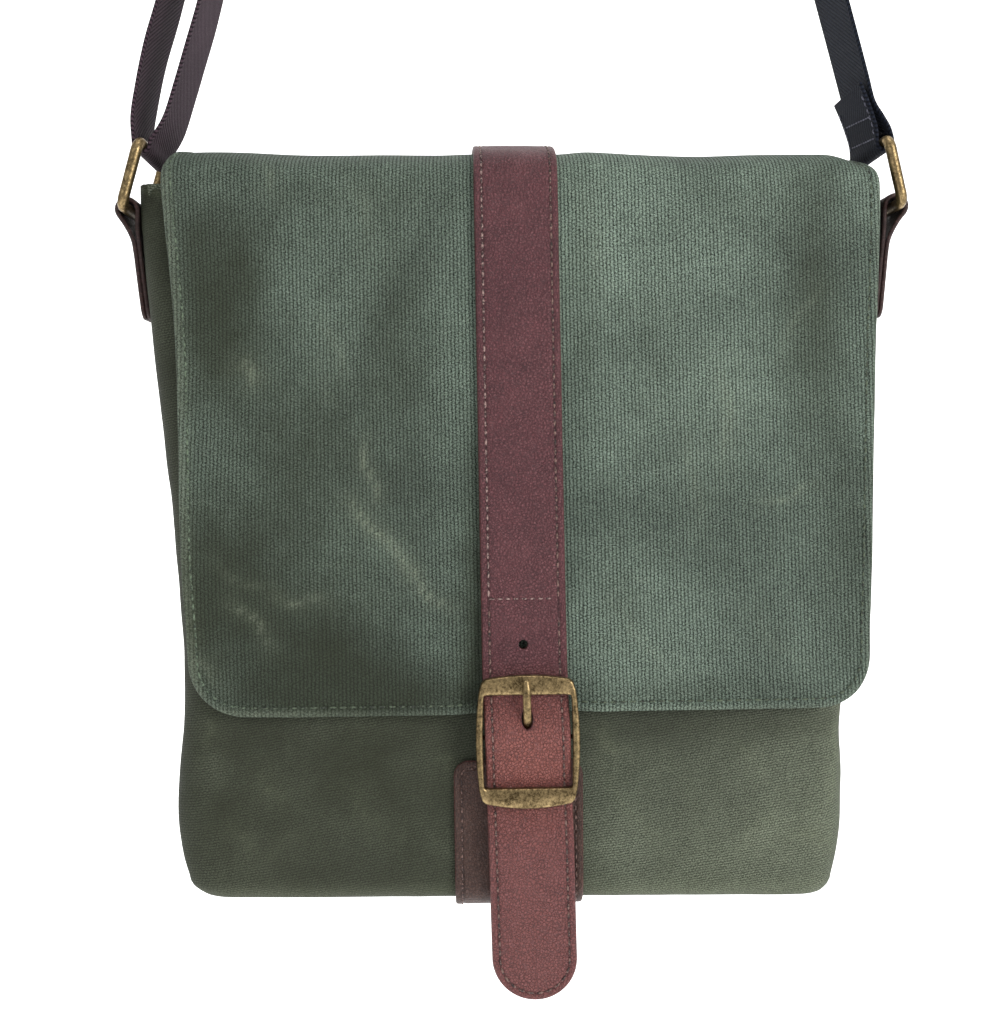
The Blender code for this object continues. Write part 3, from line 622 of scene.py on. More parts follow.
# darker zones on the flap: (x, z, radius x, radius z, strength); some are stains and grime, others painted shade, among
# them the narrow band along the strap's left side, a painted shadow of the strap
STAINS_AND_SHADE = [(-104.0, -210.0, 48.0, 28.0, 0.80), (-130.0, -177.0, 24.0, 34.0, 0.45), (-72.0, -227.0, 42.0, 12.0, 0.45), (-137.0, -41.0, 10.0, 18.0, 0.42),
          (-118.0, -53.0, 12.0, 20.0, 0.55), (-127.0, -92.0, 22.0, 24.0, 0.50), (-133.0, -74.0, 14.0, 24.0, 0.40), (-90.0, -122.0, 24.0, 26.0, 0.38), (-96.0, -160.0, 40.0, 26.0, 0.30),
          (-19.0, -193.0, 7.0, 60.0, 0.60), (-17.0, -222.0, 12.0, 16.0, 0.45), (-46.0, -234.0, 54.0, 7.0, 0.45), (-52.0, -92.0, 16.0, 44.0, 0.32),
          (130.0, -58.0, 11.0, 48.0, 0.42), (122.0, -84.0, 14.0, 40.0, 0.35), (138.0, -160.0, 12.0, 56.0, 0.30), (28.0, -60.0, 9.0, 60.0, 0.32), (58.0, -90.0, 14.0, 40.0, 0.22),
          (60.0, -234.0, 60.0, 6.0, 0.35), (40.0, -200.0, 14.0, 34.0, 0.22), (100.0, -28.0, 30.0, 14.0, 0.18), (-60.0, -26.0, 50.0, 10.0, 0.16)]


def crease_field(X, Z, table=CREASES):
    disp = np.zeros_like(X)
    wear = np.zeros_like(X)
    for x0, z0, x1, z1, w, h, p in table:
        dx, dz = x1 - x0, z1 - z0
        ll = dx * dx + dz * dz
        t = np.clip(((X - x0) * dx + (Z - z0) * dz) / ll, 0, 1)
        bow = np.sin(t * math.pi * 2.0 + x0) * 1.6
        nx, nz = -dz / math.sqrt(ll), dx / math.sqrt(ll)
        d = np.hypot(X - (x0 + dx * t + nx * bow), Z - (z0 + dz * t + nz * bow))
        fade = np.sin(np.clip(t, 0.03, 0.97) * math.pi) ** 0.7
        disp += h * np.exp(-(d / (w * 2.2)) ** 2) * fade
        wear += p * np.exp(-(d / (w * 0.55)) ** 2) * fade + 0.25 * p * np.exp(-(d / (w * 2.5)) ** 2)
    return disp, np.clip(wear, 0, 1)


def stain_and_shade_field(X, Z, table=STAINS_AND_SHADE):
    out = np.zeros_like(X)
    for x, z, rx, rz, a in table:
        out += a * np.exp(-((X - x) / rx) ** 2 - ((Z - z) / rz) ** 2)
    return np.clip(out, 0, 0.95)


# ============================================================ flap
rows = [0.0, 0.15, 0.5, 1.1, 2.0, 3.0, 4.2]
rows += list(np.arange(6.0, FLAP_LEN - 22.5, 2.6))
zc = FLAP_LEN - FLAP_R
rows += [zc + FLAP_R * math.sin(a) for a in np.linspace(0, math.pi / 2, 26)]
rows = np.array(sorted(set(round(float(r), 4) for r in rows)))
rows = rows[np.concatenate([[True], np.diff(rows) > 0.02])]
cols = edge_cols(150.0, 2.6) / 150.0
S, C = np.meshgrid(rows, cols, indexing="ij")
W0 = flap_w(S)
db = FLAP_LEN - S
cut = np.where(db < FLAP_R, FLAP_R - np.sqrt(np.maximum(FLAP_R ** 2 - (FLAP_R - db) ** 2, 0)), 0.0)
X = C * (W0 - cut)
ds = W0 - np.abs(X)
D = np.minimum(ds, db)
corner = (ds < FLAP_R) & (db < FLAP_R)
D = np.where(corner, FLAP_R - np.hypot(FLAP_R - ds, FLAP_R - db), D)
D = np.clip(np.minimum(D, S), 0, None)
yz = prof(S)
PX = X + FLAP_X
Zf = yz[..., 1]
hangw = smoothstep(-20.0, -70.0, Zf)
mask = smoothstep(18.0, 34.0, np.abs(X + FLAP_X))
cr, wear = crease_field(PX, Zf)
big = np.zeros_like(PX)
fine = np.zeros_like(PX)
for i in range(PX.shape[0]):
    for j in range(PX.shape[1]):
        p = (PX[i, j], 0.0, S[i, j])
        big[i, j] = fnoise((p[0] * 1.0, 0, p[2] * 0.45), 0.017, 3.1) * 1.6 + fnoise((p[0], 0, p[2] * 0.7), 0.045, 8.7) * 0.5
        fine[i, j] = fnoise(p, 0.12, 5.0)
wave = 1.1 * np.sin((PX + 30.0) / 27.0) + 0.7 * np.sin((PX - 12.0) / 13.0)
free = smoothstep(0.0, 90.0, S - s_at_z(-150.0))
out = (hangw * (np.abs(big) * 1.3 + 0.9 + 0.25 * fine + cr) + free * (0.8 + 0.5 * np.sin(PX / 34.0))) * mask
hemlift = 1.2 * np.exp(-((db - 5.0) / 9.0) ** 2) + 0.5 * np.exp(-((ds - 4.0) / 6.0) ** 2) * hangw
out = out + hemlift * mask
roofz = (1.0 - hangw) * (mask * (0.45 * wave + 0.5 * big) + 4.2 * smoothstep(0.0, 10.0, S) * np.where(X < 0, smoothstep(155.5, 150.5, -X), smoothstep(155.0, 136.0, X)))
sidewave = np.where(X < 0, 1.4 * np.sin((Zf + 20.0) / 220.0 * 2 * math.pi) * smoothstep(60.0, 150.0, -X), 0.0)
P = np.stack([PX - sidewave + 0.0085 * np.maximum(-20.0 - Zf, 0.0), yz[..., 0] - out, Zf + roofz - (free * 1.0 * np.exp(-((PX + 60) / 70.0) ** 2))], -1)
half_t = 0.85 + 0.55 * (1 - smoothstep(3.0, 4.4, D)) - 0.35 * np.exp(-((D - 4.0) / 0.7) ** 2)
half_t = half_t * rnd(D, 1.25)
# the flap's 'dark' attribute: stains together with painted shade from the table, more painted shade towards the left
# side, away from the key light, and a little random variation
stain_and_shade = np.clip(stain_and_shade_field(PX, Zf) + 0.26 * smoothstep(10.0, -70.0, PX) + 0.10 * fine, 0, 0.95)
hem = np.exp(-((D - 0.8) / 1.3) ** 2) * 0.45 * (0.6 + 0.4 * fine)
hem = hem + np.exp(-((ds - 2.4) / 2.6) ** 2) * (X < 0) * 0.42 * (0.75 + 0.25 * fine)
hem = hem + np.exp(-((db - 1.8) / 1.8) ** 2) * smoothstep(-60.0, -110.0, X) * 0.35
wearf = np.clip(wear + hem * (Zf < -4), 0, 1)
UV = np.stack([PX, -S], -1)
flap, f_top, f_bot, f_n = closed_sheet("flap_canvas", P, half_t, half_t, UV, M_FLAP, {"wear": wearf, "dark": stain_and_shade})
FLAP_ROWS, FLAP_COLS = rows, cols


def on_flap(x, s):
    """Outer surface and normal of the flap at x (from its own centre line) and s down it."""
    w = float(flap_w(s))
    d = FLAP_LEN - s
    c = FLAP_R - math.sqrt(max(FLAP_R ** 2 - (FLAP_R - d) ** 2, 0)) if d < FLAP_R else 0.0
    i = np.interp(s, FLAP_ROWS, np.arange(len(FLAP_ROWS)))
    j = np.interp(x / (w - c), FLAP_COLS, np.arange(len(FLAP_COLS)))
    i0, j0 = min(int(i), len(FLAP_ROWS) - 2), min(int(j), len(FLAP_COLS) - 2)
    a, b = i - i0, j - j0
    return tuple(((1 - a) * (1 - b) * G[i0, j0] + (1 - a) * b * G[i0, j0 + 1] + a * (1 - b) * G[i0 + 1, j0] + a * b * G[i0 + 1, j0 + 1]) for G in (f_top, f_n))


# which way do the outer surface's normals point?
OUTSIDE = 1.0 if f_n[len(rows) // 2, len(cols) // 2][1] < 0 else -1.0
if OUTSIDE < 0:
    f_top, f_bot, f_n = f_bot, f_top, -f_n
inset = 4.0
seam = []
for s in np.arange(6.0, FLAP_LEN - FLAP_R, 2.0):
    seam.append((-(float(flap_w(s)) - inset), s))
for a in np.linspace(0, math.pi / 2, 14):
    w = float(flap_w(FLAP_LEN - FLAP_R))
    seam.append((-(w - FLAP_R + (FLAP_R - inset) * math.cos(a)), FLAP_LEN - FLAP_R + (FLAP_R - inset) * math.sin(a)))
w = float(flap_w(FLAP_LEN))
for x in np.arange(-(w - FLAP_R) + 2, w - FLAP_R - 2, 2.0):
    seam.append((x, FLAP_LEN - inset))
for a in np.linspace(math.pi / 2, 0, 14):
    w = float(flap_w(FLAP_LEN - FLAP_R))
    seam.append((w - FLAP_R + (FLAP_R - inset) * math.cos(a), FLAP_LEN - FLAP_R + (FLAP_R - inset) * math.sin(a)))
for s in np.arange(FLAP_LEN - FLAP_R - 2, 6.0, -2.0):
    seam.append((float(flap_w(s)) - inset, s))
sp = [on_flap(x, s) for x, s in seam]
n_left = len(np.arange(6.0, FLAP_LEN - FLAP_R, 2.0)) + 14
flap_st = stitches("flap_edge_stitching_left", [a for a, b in sp[:n_left + 1]], [b for a, b in sp[:n_left + 1]], M_THREAD_PALE, 4.1, 3.0, 0.46, 0.20)
flap_st2 = stitches("flap_edge_stitching_rest", [a for a, b in sp[n_left:]], [b for a, b in sp[n_left:]], M_THREAD_MIX, 4.1, 3.0, 0.50, 0.20, start=0.4)

# lining of the flap, a little inside its edge
sel_r = np.where((rows > s_at_z(-22.0)) & (rows < FLAP_LEN - 5.0))[0]
sel_c = np.where(np.abs(cols) * 148 < 142)[0]
Pl = P[np.ix_(sel_r, sel_c)].copy()
Pl = Pl - OUTSIDE * normals_of(P)[np.ix_(sel_r, sel_c)] * 1.45
nn = Pl.shape
dl = np.minimum.outer(np.minimum(rows[sel_r] - rows[sel_r][0], rows[sel_r][-1] - rows[sel_r]), np.full(len(sel_c), 1e9))
dc = np.minimum((cols[sel_c] - cols[sel_c][0]) * 146, (cols[sel_c][-1] - cols[sel_c]) * 146)
dl = np.minimum(dl, dc[None, :])
hl = 0.35 * rnd(dl, 0.4)
lining, _, _, _ = closed_sheet("flap_lining_cloth", Pl, hl, hl, UV[np.ix_(sel_r, sel_c)], M_INNER)

for ob in (flap, flap_st, flap_st2):
    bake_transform(ob)
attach(lining, "flap_front")
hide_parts("flap_top_panel", "flap_front_panel")
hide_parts("flap_lining")


# ============================================================ leather strips
def leather_strip(name, path2, half_fn, mat, x0=0.0, T=3.2, groove=3.3, tip=None, crown=0.25, edge=2, s0=0.0, cap0=False, cap1=False):
    """A two-ply leather strip along path2 (y, z); tip is the radius of its rounded end."""
    pts, s = smooth_path(path2, 2.0)
    total = s[-1]
    r = list(np.arange(0.0, total, 2.0))
    r += [0.01, 0.06] if cap0 else [0.1, 0.35, 0.8, 1.4]
    if tip:
        r = [q for q in r if q < total - tip]
        r += [total - tip + tip * math.sin(a) for a in np.linspace(0, math.pi / 2, 30)]
    else:
        r += [total - q for q in ((0.06, 0.01, 0.0) if cap1 else (1.4, 0.8, 0.35, 0.1, 0.0))]
    r = np.array(sorted(set(round(float(q), 4) for q in r)))
    r = r[np.concatenate([[True], np.diff(r) > 0.005])]
    cc = edge_cols(18.0, 1.3, (0.0, 0.08, 0.3, 0.7, 1.2, 1.9, 2.6, 2.95, 3.3, 3.65, 4.0, 4.8)) / 18.0
    Sg, Cg = np.meshgrid(r, cc, indexing="ij")
    q = along(pts, Sg.ravel()).reshape(Sg.shape + (2,))
    H = half_fn(Sg)
    end = total - Sg
    if tip:
        cutw = np.where(end < tip, tip - np.sqrt(np.maximum(tip ** 2 - (tip - end) ** 2, 0)), 0.0)
        Xg = Cg * (H - cutw)
        d = H - np.abs(Xg)
        inn = end < tip
        d = np.where(inn, np.minimum(d, tip - np.hypot(np.abs(Xg) * tip / H, tip - end)), d)
    else:
        Xg = Cg * H
        d = np.minimum(H - np.abs(Xg), np.where(end > 0, 99.0, 0.0) if cap1 else end)
    dd = np.clip(np.minimum(d, np.where(Sg > 0, 99.0, 0.0) if cap0 else Sg), 0, None)
    grd = d
    ht = T / 2 * rnd(dd, 0.9) + crown * (1 - (Xg / H) ** 2) * smoothstep(0, 6, dd)
    gr = 0.32 * np.exp(-((grd - groove) / 0.55) ** 2)
    ht = ht - gr * (dd > 1.0) + 0.10 * np.exp(-((grd - groove - 1.5) / 0.8) ** 2) + 0.12 * np.exp(-((grd - 1.8) / 0.7) ** 2)
    ht = np.where(dd <= 0.0, 0.0, ht)
    hb = T / 2 * rnd(dd, 0.9)
    Pg = np.stack([Xg + x0 + lean(q[..., 1]), q[..., 0], q[..., 1]], -1)
    UVg = np.stack([Xg, -(Sg + s0)], -1)
    dark = 0.62 * np.exp(-((grd - groove) / 0.45) ** 2)
    zq = q[..., 1]
    # lighter lower strap and tail, carried in the 'wear' attribute: painted highlight
    lower_strap_highlight = smoothstep(-216.0, -240.0, zq) * (0.50 + 0.45 * np.exp(-((zq + 262.0) / 24.0) ** 2)) * (0.8 + 0.2 * np.cos(Xg / 12.0))
    ob, tp, bt, n = closed_sheet(name, Pg, ht, hb, UVg, mat, {"dark": np.clip(dark, 0, 1), "wear": lower_strap_highlight}, edge_mat=edge)
    if n[len(r) // 2, len(cc) // 2][1] > 0:
        # grid normals run inwards: build it again turned round
        me = ob.data
        bpy.data.objects.remove(ob)
        bpy.data.meshes.remove(me)
        ob, tp, bt, n = closed_sheet(name, Pg, ht, hb, UVg, mat, {"dark": np.clip(dark, 0, 1), "wear": lower_strap_highlight}, edge_mat=edge, flip=True)

    def at(x, ss):
        h = float(half_fn(np.array(ss)))
        e = total - ss
        c = tip - math.sqrt(max(tip ** 2 - (tip - e) ** 2, 0)) if (tip and e < tip) else 0.0
        i = np.interp(ss, r, np.arange(len(r)))
        j = np.interp(x / max(h - c, 0.01), cc, np.arange(len(cc)))
        i0, j0 = min(int(i), len(r) - 2), min(int(j), len(cc) - 2)
        a, b = i - i0, j - j0
        return tuple((1 - a) * (1 - b) * G[i0, j0] + (1 - a) * b * G[i0, j0 + 1] + a * (1 - b) * G[i0 + 1, j0] + a * b * G[i0 + 1, j0 + 1] for G in (tp, n))

    return ob, at, total, pts


OUT_STRAP = 2.75
n2 = np.gradient(PROFILE, axis=0)
n2 /= np.linalg.norm(n2, axis=1, keepdims=True)
out2 = np.stack([n2[:, 1], -n2[:, 0]], 1)          # outward side of the profile
if out2[len(out2) // 2][0] > 0:
    out2 = -out2
STRAP_LINE = PROFILE + out2 * OUT_STRAP
STRAP_LINE[:, 1] += 4.2 * smoothstep(0.0, 10.0, PROF_S) * (1.0 - smoothstep(-20.0, -70.0, PROFILE[:, 1]))
k0 = int(np.argmin(np.abs(PROFILE[:, 0] - 27.5) + (PROFILE[:, 1] < -10) * 100))
k1 = int(np.argmin(np.abs(PROFILE[:, 1] + 195.0)))
upper_path = STRAP_LINE[k0:k1 + 1:3]
upper_path = np.vstack([upper_path, STRAP_LINE[k1]])
up, up_at, up_len, _ = leather_strip("closure_strap_leather", upper_path, lambda s: 18.0 + 0 * s, [M_STRAP, M_STRAP_EDGE], cap1=True)
for sgn, tag in ((-1, "left"), (1, "right")):
    pp = [up_at(sgn * 14.7, s) for s in np.arange(2.0, up_len - 1.0, 1.5)]
    o = stitches("closure_strap_stitching_" + tag, [a for a, b in pp], [b for a, b in pp], M_THREAD_TAN if sgn < 0 else M_THREAD_BROWN, 4.0, 3.0, 0.50, 0.16)
    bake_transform(o)
    o.parent = o.parent
pp = [up_at(x, up_len - 1.6) for x in np.arange(-15.0, 15.1, 1.0)]
o = stitches("closure_strap_cross_stitching", [a for a, b in pp], [b for a, b in pp], M_THREAD_TAN, 3.4, 2.4, 0.40, 0.16)
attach(o, "flap_front")
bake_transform(up)
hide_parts("closure_strap_over_top", "closure_strap_upper")

sy, sz = STRAP_LINE[k1]
TAIL = [(sy, sz), (-48.2, -205.0), (-50.0, -218.0), (-51.7, -229.0), (-54.3, -239.0), (-56.7, -246.0), (-57.5, -251.0), (-57.3, -256.0),
        (-56.2, -265.0), (-55.3, -274.0), (-57.0, -283.0), (-58.2, -291.0), (-58.2, -300.0), (-57.6, -308.0), (-56.7, -322.0), (-55.6, -342.0), (-55.2, -363.0)]
tail, tail_at, tail_len, tail_pts = leather_strip("closure_strap_tail_leather", TAIL, lambda s: 18.0 + 0 * s, [M_STRAP, M_STRAP_EDGE], tip=18.0, s0=up_len, cap0=True)
for cname, x, z, rx, rz, seg in (("punched_hole", -0.5 + float(lean(-212.3)), -212.3, 2.0, 2.0, 24), ("prong_slot", float(lean(-242.6)), -242.6, 2.3, 4.3, 32)):
    vs, fs = [], []
    for y in (-70.0, -40.0):
        for i in range(seg):
            a = 2 * math.pi * i / seg
            vs.append((x + rx * math.cos(a), y, z + rz * math.sin(a)))
    for i in range(seg):
        j = (i + 1) % seg
        fs.append((i, seg + i, seg + j, j))
    fs.append(tuple(range(seg)))
    fs.append(tuple(reversed(range(seg, 2 * seg))))
    ct = add_mesh(cname + "_cutter", np.array(vs), fs, M_STRAP_EDGE, smooth=False)
    md = tail.modifiers.new(cname, "BOOLEAN")
    md.operation = "DIFFERENCE"
    md.solver = "EXACT"
    md.object = ct
    with bpy.context.temp_override(object=tail, active_object=tail, selected_objects=[tail]):
        bpy.ops.object.modifier_apply(modifier=cname)
    bpy.data.objects.remove(ct)

tst = []
path = [(-14.7, s) for s in np.arange(3.0, tail_len - 18.0, 1.5)]
path += [(-14.7 * math.cos(a), tail_len - 18.0 + 14.7 * math.sin(a)) for a in np.linspace(0, math.pi, 40)]
path += [(14.7, s) for s in np.arange(tail_len - 18.0, 3.0, -1.5)]
pp = [tail_at(x, s) for x, s in path]
tail_st = stitches("closure_strap_tail_stitching", [a for a, b in pp], [b for a, b in pp], M_THREAD_BROWN, 4.0, 3.0, 0.50, 0.16)
for o in (tail, tail_st):
    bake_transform(o)
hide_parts("closure_strap_tail")


# ============================================================ body shell
SIDE_Z = [-325.0, -320.0, -311.0, -300.0, -283.0, -258.0, -240.0, -220.0, -151.0, -115.0, -81.0, -55.0, -37.0, -11.0, 0.0]
SIDE_L = [139.0, 141.5, 144.0, 146.2, 148.2, 146.0, 145.1, 145.4, 150.7, 155.0, 158.4, 161.4, 163.2, 165.3, 165.6]
SIDE_R = [132.0, 134.5, 138.0, 140.2, 142.0, 141.2, 141.7, 144.0, 151.5, 156.0, 160.0, 162.3, 163.8, 165.8, 166.0]


def half_w(z, side=-1):
    """How far the body reaches to one side at height z."""
    t = np.asarray(z, float)
    a = 0.0
    for d in (-12.0, -6.0, 0.0, 6.0, 12.0):
        a = a + np.interp(t + d, SIDE_Z, SIDE_L if side < 0 else SIDE_R) * 0.2
    return a


def yC(z):
    return np.where(z > -56.0, -16.0 + (-29.5 + 16.0) * (z + 13.0) / (-43.0), -29.5 + (-51.6 + 29.5) * (z + 56.0) / (-264.0))


def yB(z):
    return np.where(z > -56.0, -8.0 - 8.0 * (z + 13.0) / (-43.0), -16.0 - 21.0 * (z + 56.0) / (-264.0))


def loop_shell(name, key, rows_t, ztop, zbot, thick, mat, inset_r, zstart=-64.0, attrs_fn=None, disp=None):
    """A bag-shaped shell: key(c, z) gives the outline at height z; the wall turns in at the bottom and closes as a flat base."""
    nc = len(ztop)
    wall = []
    zr = []
    for t in rows_t:
        zs = zstart
        z = ztop + (zs - ztop) * (t / 0.12) if t < 0.12 else np.full(nc, zs + (zbot + inset_r - zs) * (t - 0.12) / 0.88)
        wall.append(key(z))
        zr.append(z)
    n_wall = len(wall)
    last = wall[-1]
    cx, cy = 0.0, (last[:, 1].min() + last[:, 1].max()) / 2
    hx, hy = np.abs(last[:, 0]).max(), (last[:, 1].max() - last[:, 1].min()) / 2
    rowsets = [np.column_stack([w_, z_]) for w_, z_ in zip(wall, zr)]
    for a in np.linspace(0, math.pi / 2, 7)[1:]:
        ins = inset_r * (1 - math.cos(a))
        q = last.copy()
        q[:, 0] = cx + (last[:, 0] - cx) * (1 - ins / hx)
        q[:, 1] = cy + (last[:, 1] - cy) * (1 - ins / hy)
        rowsets.append(np.column_stack([q, np.full(nc, zbot + inset_r * (1 - math.sin(a)))]))
    qq = rowsets[-1][:, :2].copy()
    for k in (0.86, 0.66, 0.42, 0.18, 0.02):
        q = qq.copy()
        q[:, 0] = cx + (qq[:, 0] - cx) * (1 - (1 - k) * hy / hx * 1.6 if k > 0.02 else 0.4)
        q[:, 1] = cy + (qq[:, 1] - cy) * k
        rowsets.append(np.column_stack([q, np.full(nc, zbot)]))
    G = np.array(rowsets)
    if disp is not None:
        G = disp(G)
    du = np.roll(G, -1, 1) - np.roll(G, 1, 1)
    dv = np.gradient(G, axis=0)
    nrm = np.cross(du, dv)
    nrm /= np.maximum(np.linalg.norm(nrm, axis=2, keepdims=True), 1e-9)
    k = G.shape[0] // 3
    probe = nrm[k, nc // 2] if abs(G[k, nc // 2, 1]) > 1 else nrm[k, 0]
    ctr = np.array([cx, cy, 0.0])
    side = np.sign(np.sum((G[k] - ctr)[:, :2] * nrm[k][:, :2]))
    nrm = nrm * side
    nrm[n_wall + 6:] = (0, 0, -1)
    inner = G - nrm * thick
    mid = G - nrm * thick * 0.5
    m = G.shape[0]
    lift = np.zeros(nc)
    rimrow = mid[0] + np.array([0, 0, thick * 0.35])
    verts = np.vstack([G.reshape(-1, 3), inner.reshape(-1, 3), rimrow])
    L = np.concatenate([[0], np.cumsum(np.linalg.norm(np.diff(G[min(k, m - 1)], axis=0), axis=1))])
    V = np.zeros((m, nc))
    V[1:] = np.cumsum(np.linalg.norm(np.diff(G, axis=0), axis=2), axis=0)
    V[:, :] = V - V[n_wall - 1] - zbot * 1.0
    uvg = np.stack([np.broadcast_to(L, (m, nc)), V], -1).reshape(-1, 2)
    uv = np.vstack([uvg, uvg, uvg[:nc]])
    faces = []
    for r in range(m - 1):
        for c in range(nc):
            d = (c + 1) % nc
            f = (r * nc + c, (r + 1) * nc + c, (r + 1) * nc + d, r * nc + d)
            o = m * nc
            g = (o + r * nc + c, o + r * nc + d, o + (r + 1) * nc + d, o + (r + 1) * nc + c)
            if side < 0:
                f, g = f[::-1], g[::-1]
            faces += [f, g]
    R = 2 * m * nc
    for c in range(nc):
        d = (c + 1) % nc
        f = (c, d, R + d, R + c)
        g = (R + c, R + d, m * nc + d, m * nc + c)
        if side < 0:
            f, g = f[::-1], g[::-1]
        faces += [f, g]
    b = (m - 1) * nc
    f1 = tuple(b + c for c in range(nc))
    f2 = tuple(m * nc + b + c for c in reversed(range(nc)))
    faces += [f1[::-1] if side > 0 else f1, f2[::-1] if side > 0 else f2]
    at = None
    if attrs_fn is not None:
        w, dk = attrs_fn(G, n_wall)
        at = {"wear": np.concatenate([w.ravel(), 0 * w.ravel(), w[0]]), "dark": np.concatenate([dk.ravel(), dk.ravel(), dk[0]])}
    ob = add_mesh(name, verts, faces, mat, uv, at)
    return ob, G, nrm, n_wall


# outline columns, from the back's centre round the left side to the front and back again
cols_tag = []
for x in np.linspace(0, 1, 22)[:-1]:
    cols_tag.append(("back", -x))
for a in np.linspace(0, 1, 5):
    cols_tag.append(("bc", -1, a))
for t in np.linspace(0, 1, 15)[1:-1]:
    cols_tag.append(("side", -1, t))
for a in np.linspace(0, 1, 9):
    cols_tag.append(("fc", -1, a))
fx = [-1.0 + q for q in (0.004, 0.008, 0.014)] + list(np.linspace(-0.975, 0.975, 96)) + [1.0 - q for q in (0.014, 0.008, 0.004)]
for x in fx:
    cols_tag.append(("front", x))
for a in np.linspace(1, 0, 9):
    cols_tag.append(("fc", 1, a))
for t in np.linspace(1, 0, 15)[1:-1]:
    cols_tag.append(("side", 1, t))
for a in np.linspace(1, 0, 5):
    cols_tag.append(("bc", 1, a))
for x in np.linspace(1, 0, 22)[1:-1]:
    cols_tag.append(("back", x))
NC = len(cols_tag)


def outline(z):
    """Body outline for one height per column."""
    WL, WR = half_w(z, -1), half_w(z, 1)
    out = np.zeros((NC, 2))
    for c, tg in enumerate(cols_tag):
        zc_ = z[c]
        w_, b_, f_ = (WL if tg[1] < 0 else WR)[c], float(yB(np.array(zc_))), float(yC(np.array(zc_)))
        if tg[0] == "back":
            out[c] = (tg[1] * (w_ - 6), 32.0)
        elif tg[0] == "bc":
            a = tg[2] * math.pi / 2
            out[c] = (tg[1] * (w_ - 6 + 6 * math.sin(a)), 26.0 + 6 * math.cos(a))
        elif tg[0] == "side":
            out[c] = (tg[1] * w_, 26.0 + (b_ - 26.0) * tg[2])
        elif tg[0] == "fc":
            a = tg[2] * math.pi / 2
            out[c] = (tg[1] * (w_ - 15 + 15 * math.cos(a)), b_ + (f_ - b_) * math.sin(a))
        else:
            out[c] = (tg[1] * (w_ - 15), f_)
    return out


ztop = np.zeros(NC)
for c, tg in enumerate(cols_tag):
    if tg[0] == "front":
        e = (1 - abs(tg[1])) * 150
        ztop[c] = -56.0 if e > 1.9 else (-52.0 if e > 1.0 else -30.0)
    elif tg[0] == "fc":
        ztop[c] = -13.0 - 6.0 * tg[2] ** 3
    elif tg[0] == "side":
        ztop[c] = -13.0
    else:
        ztop[c] = -7.0
BODY_CREASES = [(-111.0, -267.0, -101.0, -279.0, 2.6, 1.4, 0.248), (-122.0, -286.0, -114.0, -300.0, 3.0, 1.4, 0.217), (-133.0, -240.0, -131.0, -256.0, 3.0, 1.0, 0.217), (-92.0, -290.0, -112.0, -304.0, 4.0, 1.2, 0.124),
                (-34.0, -258.0, -30.0, -266.0, 4.0, 0.4, 0.217), (-74.0, -272.0, -58.0, -292.0, 3.0, 1.0, 0.136), (140.0, -240.0, 136.0, -270.0, 2.4, 1.6, 0.51), (136.0, -270.0, 131.0, -287.0, 2.8, 1.3, 0.297),
                (33.0, -250.0, 43.0, -262.0, 5.0, 0.8, 0.425), (34.0, -265.0, 60.0, -304.0, 2.8, 1.3, 0.238), (112.0, -295.0, 138.0, -300.0, 4.5, 1.1, 0.34), (108.0, -284.0, 92.0, -302.0, 3.0, 1.2, 0.17),
                (62.0, -258.0, 80.0, -298.0, 5.0, 1.0, 0.119), (92.0, -256.0, 100.0, -266.0, 3.0, 0.8, 0.255), (-146.0, -120.0, -150.0, -200.0, 3.0, 0.8, 0.074)]


def body_disp(G):
    G = G.copy()
    m, n = G.shape[:2]
    du = np.roll(G, -1, 1) - np.roll(G, 1, 1)
    dv = np.gradient(G, axis=0)
    nr = np.cross(du, dv)
    nr /= np.maximum(np.linalg.norm(nr, axis=2, keepdims=True), 1e-9)
    ctr = np.array([0, 0, -160.0])
    sgn = np.sign(np.sum((G[5] - ctr)[:, :2] * nr[5][:, :2]))
    nr = nr * sgn
    d = np.zeros((m, n))
    X_, Y_, Z_ = G[..., 0], G[..., 1], G[..., 2]
    cr_, _ = crease_field(X_, Z_, BODY_CREASES)
    low = smoothstep(-247.0, -268.0, Z_)
    front = smoothstep(-20.0, -44.0, Y_) * (1 - smoothstep(118.0, 140.0, np.abs(X_)))
    patch = 1 - smoothstep(31.0, 44.0, np.abs(X_ + 1.2))
    tabs = np.exp(-((Z_ + 46.0) / 34.0) ** 4) * (np.abs(X_) > 155)
    for i in range(m):
        for j in range(n):
            p = G[i, j]
            b_ = fnoise((p[0], p[1], p[2] * 0.5), 0.022, 11.3)
            f_ = fnoise(p, 0.06, 4.4)
            s_ = 0.9 * b_ + 0.35 * f_
            if p[1] > 29:
                s_ = -abs(s_) * 0.7
            else:
                a_ = s_ * low[i, j] * (1 - patch[i, j]) * 1.5 - 0.5 * (1 - low[i, j])
                b_ = s_ * (1 - tabs[i, j]) * 1.2 - 0.4 * (p[1] < -14) * (1 - low[i, j])
                s_ = a_ * front[i, j] + b_ * (1 - front[i, j])
            d[i, j] = s_
    d += cr_ * front * low * (1 - patch)
    sag = 1.2 * np.exp(-((Z_ + 300) / 26.0) ** 2) * front * (1 - patch)
    d = d + sag
    d[Z_ < -320] *= 0.25
    G += nr * d[..., None]
    G[..., 2] = np.maximum(G[..., 2], -322.4)
    G[..., 2] -= 0.013 * X_ * smoothstep(-180.0, -315.0, Z_)
    return G


